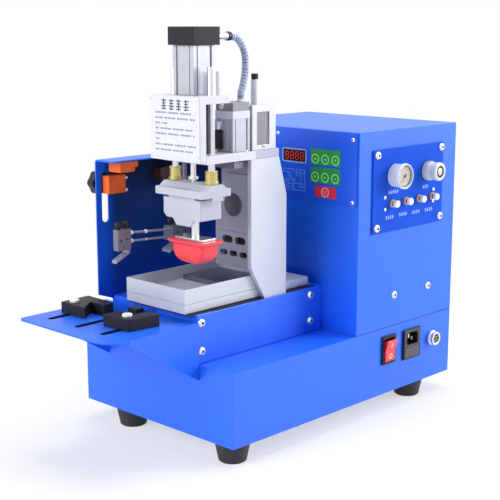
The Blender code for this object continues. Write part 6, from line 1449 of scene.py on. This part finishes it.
class PADPRINTER_OT_stage(bpy.types.Operator):
    """Pale floor, white room, soft lights and the camera"""

    bl_idname = "pad_printer.stage"
    bl_label = "Floor, light and camera"

    # Place in metres and width of each square light
    key_place, key_width = (1.35, 1.55, 1.0), 1.3
    fill_place, fill_width = (-0.45, -2.3, 1.2), 1.6
    top_place, top_width = (-0.1, 0.5, 2.3), 1.6
    lit_point = (0, 0, 0.15)
    # The floor's radius, and from where to where it turns white for the camera, in metres
    floor_radius, fade_start, fade_end = 9.0, 0.25, 0.7
    white_share_at_start = 0.58
    # The camera as fitted to the photograph: place in millimetres, tilt and turn in degrees, lens
    camera_place = (889.5, -774.3, 428.5)
    camera_tilt, camera_turn = 78.584, 44.005
    camera_lens, camera_sensor = 81.98, 36.0

    def execute(self, context):
        settings = context.scene.pad_printer_stage
        bm = shape()
        bmesh.ops.create_circle(bm, cap_ends=True, segments=96, radius=self.floor_radius)
        mesh = bpy.data.meshes.new("floor")
        bm.to_mesh(mesh)
        bm.free()
        floor = bpy.data.objects.new("floor", mesh)
        context.scene.collection.objects.link(floor)
        mesh.materials.append(self.floor_finish(settings.floor))
        self.room(context.scene, settings.room)
        self.lamp("key_light", self.key_place, self.key_width, settings.key_power)
        self.lamp("fill_light", self.fill_place, self.fill_width, settings.fill_power)
        self.lamp("top_light", self.top_place, self.top_width, settings.top_power)
        camera = bpy.data.objects.new("camera", bpy.data.cameras.new("camera"))
        context.scene.collection.objects.link(camera)
        camera.location = HERE + Vector(self.camera_place) * MM
        camera.rotation_euler = (math.radians(self.camera_tilt), 0, math.radians(self.camera_turn))
        camera.data.lens = self.camera_lens
        camera.data.sensor_width = self.camera_sensor
        camera.data.clip_end = 60
        context.scene.camera = camera
        context.scene.view_settings.view_transform = "Standard"
        return {"FINISHED"}

    @classmethod
    def floor_finish(cls, colour):
        """Matt studio floor: it keeps the machine's shadow, and shows nearly white."""
        material = bpy.data.materials.new("matt_studio_floor")
        material.use_nodes = True
        tree = material.node_tree
        shader = tree.nodes["Principled BSDF"]
        shader.inputs["Roughness"].default_value = 0.6
        shader.inputs["Base Color"].default_value = (*colour, 1)
        place = add_node(tree, "ShaderNodeTexCoord").outputs["Object"]
        reach = add_node(tree, "ShaderNodeVectorMath", {0: place}, operation="LENGTH").outputs["Value"]
        fade = add_node(tree, "ShaderNodeMapRange", {
            "Value": reach, "From Min": cls.fade_start, "From Max": cls.fade_end,
            "To Min": cls.white_share_at_start, "To Max": 1.0})
        share = add_node(tree, "ShaderNodeMath", {0: direct_rays(tree), 1: fade.outputs["Result"]},
                         operation="MULTIPLY")
        white = add_node(tree, "ShaderNodeEmission", {"Color": (1, 1, 1, 1), "Strength": 1.0})
        mixed = add_node(tree, "ShaderNodeMixShader", {0: share.outputs[0], 1: shader.outputs["BSDF"],
                                                       2: white.outputs["Emission"]})
        tree.links.new(mixed.outputs["Shader"], tree.nodes["Material Output"].inputs["Surface"])
        return material

    @staticmethod
    def room(scene, strength):
        """White room: plain white to the camera and in reflections, and a soft even light otherwise."""
        world = bpy.data.worlds.new("white_room")
        scene.world = world
        world.use_nodes = True
        tree = world.node_tree
        level = add_node(tree, "ShaderNodeMapRange", {"Value": direct_rays(tree), "To Min": strength,
                                                      "To Max": 1.0})
        background = tree.nodes["Background"]
        background.inputs["Color"].default_value = (1, 1, 1, 1)
        tree.links.new(level.outputs["Result"], background.inputs["Strength"])

    @classmethod
    def lamp(cls, name, place, width, power):
        """A square soft light that faces the machine."""
        data = bpy.data.lights.new(name, "AREA")
        data.shape = "SQUARE"
        data.size = width
        data.energy = power
        lamp = bpy.data.objects.new(name, data)
        bpy.context.scene.collection.objects.link(lamp)
        lamp.location = place
        lamp.rotation_euler = (Vector(cls.lit_point) - Vector(place)).to_track_quat("-Z", "Y").to_euler()


STEPS = (
    PADPRINTER_OT_stage, PADPRINTER_OT_case, PADPRINTER_OT_metalwork, PADPRINTER_OT_mouldings,
    PADPRINTER_OT_case_screws, PADPRINTER_OT_guard_blocks, PADPRINTER_OT_head_label,
    PADPRINTER_OT_display, PADPRINTER_OT_keypad, PADPRINTER_OT_gauge, PADPRINTER_OT_regulator,
    PADPRINTER_OT_flow_valves, PADPRINTER_OT_mains_fittings, PADPRINTER_OT_clamp_screws,
    PADPRINTER_OT_guide_rods, PADPRINTER_OT_main_cap, PADPRINTER_OT_hose, PADPRINTER_OT_printing_pad,
    PADPRINTER_OT_scraper, PADPRINTER_OT_column_details, PADPRINTER_OT_cylinder_details,
    PADPRINTER_OT_stop_screw, PADPRINTER_OT_tray_gap_shade, PADPRINTER_OT_table_block,
)


class PADPRINTER_PT_panel(bpy.types.Panel):
    """Sidebar panel with the machine's colours, sizes and steps"""

    bl_label = "Pad printer"
    bl_idname = "PADPRINTER_PT_panel"
    bl_space_type = "VIEW_3D"
    bl_region_type = "UI"
    bl_category = "Pad printer"

    def draw(self, context):
        scene = context.scene
        for title, group in (("Colours", scene.pad_printer_colours), ("Sizes", scene.pad_printer_sizes),
                             ("Stage", scene.pad_printer_stage)):
            column = self.layout.column(align=True)
            column.label(text=title)
            for name in group.__annotations__:
                column.prop(group, name)
        column = self.layout.column(align=True)
        for step in STEPS:
            column.operator(step.bl_idname)


GROUPS = {
    "pad_printer_colours": PadPrinterColours,
    "pad_printer_sizes": PadPrinterSizes,
    "pad_printer_stage": PadPrinterStage,
}
CLASSES = (*GROUPS.values(), *STEPS, PADPRINTER_PT_panel)


def register():
    for item in CLASSES:
        bpy.utils.register_class(item)
    for name, group in GROUPS.items():
        setattr(bpy.types.Scene, name, PointerProperty(type=group))


def unregister():
    for name in GROUPS:
        delattr(bpy.types.Scene, name)
    for item in reversed(CLASSES):
        bpy.utils.unregister_class(item)


def main():
    register()
    for step in STEPS:
        getattr(bpy.ops.pad_printer, step.bl_idname.split(".")[1])()


if __name__ == "__main__":
    main()
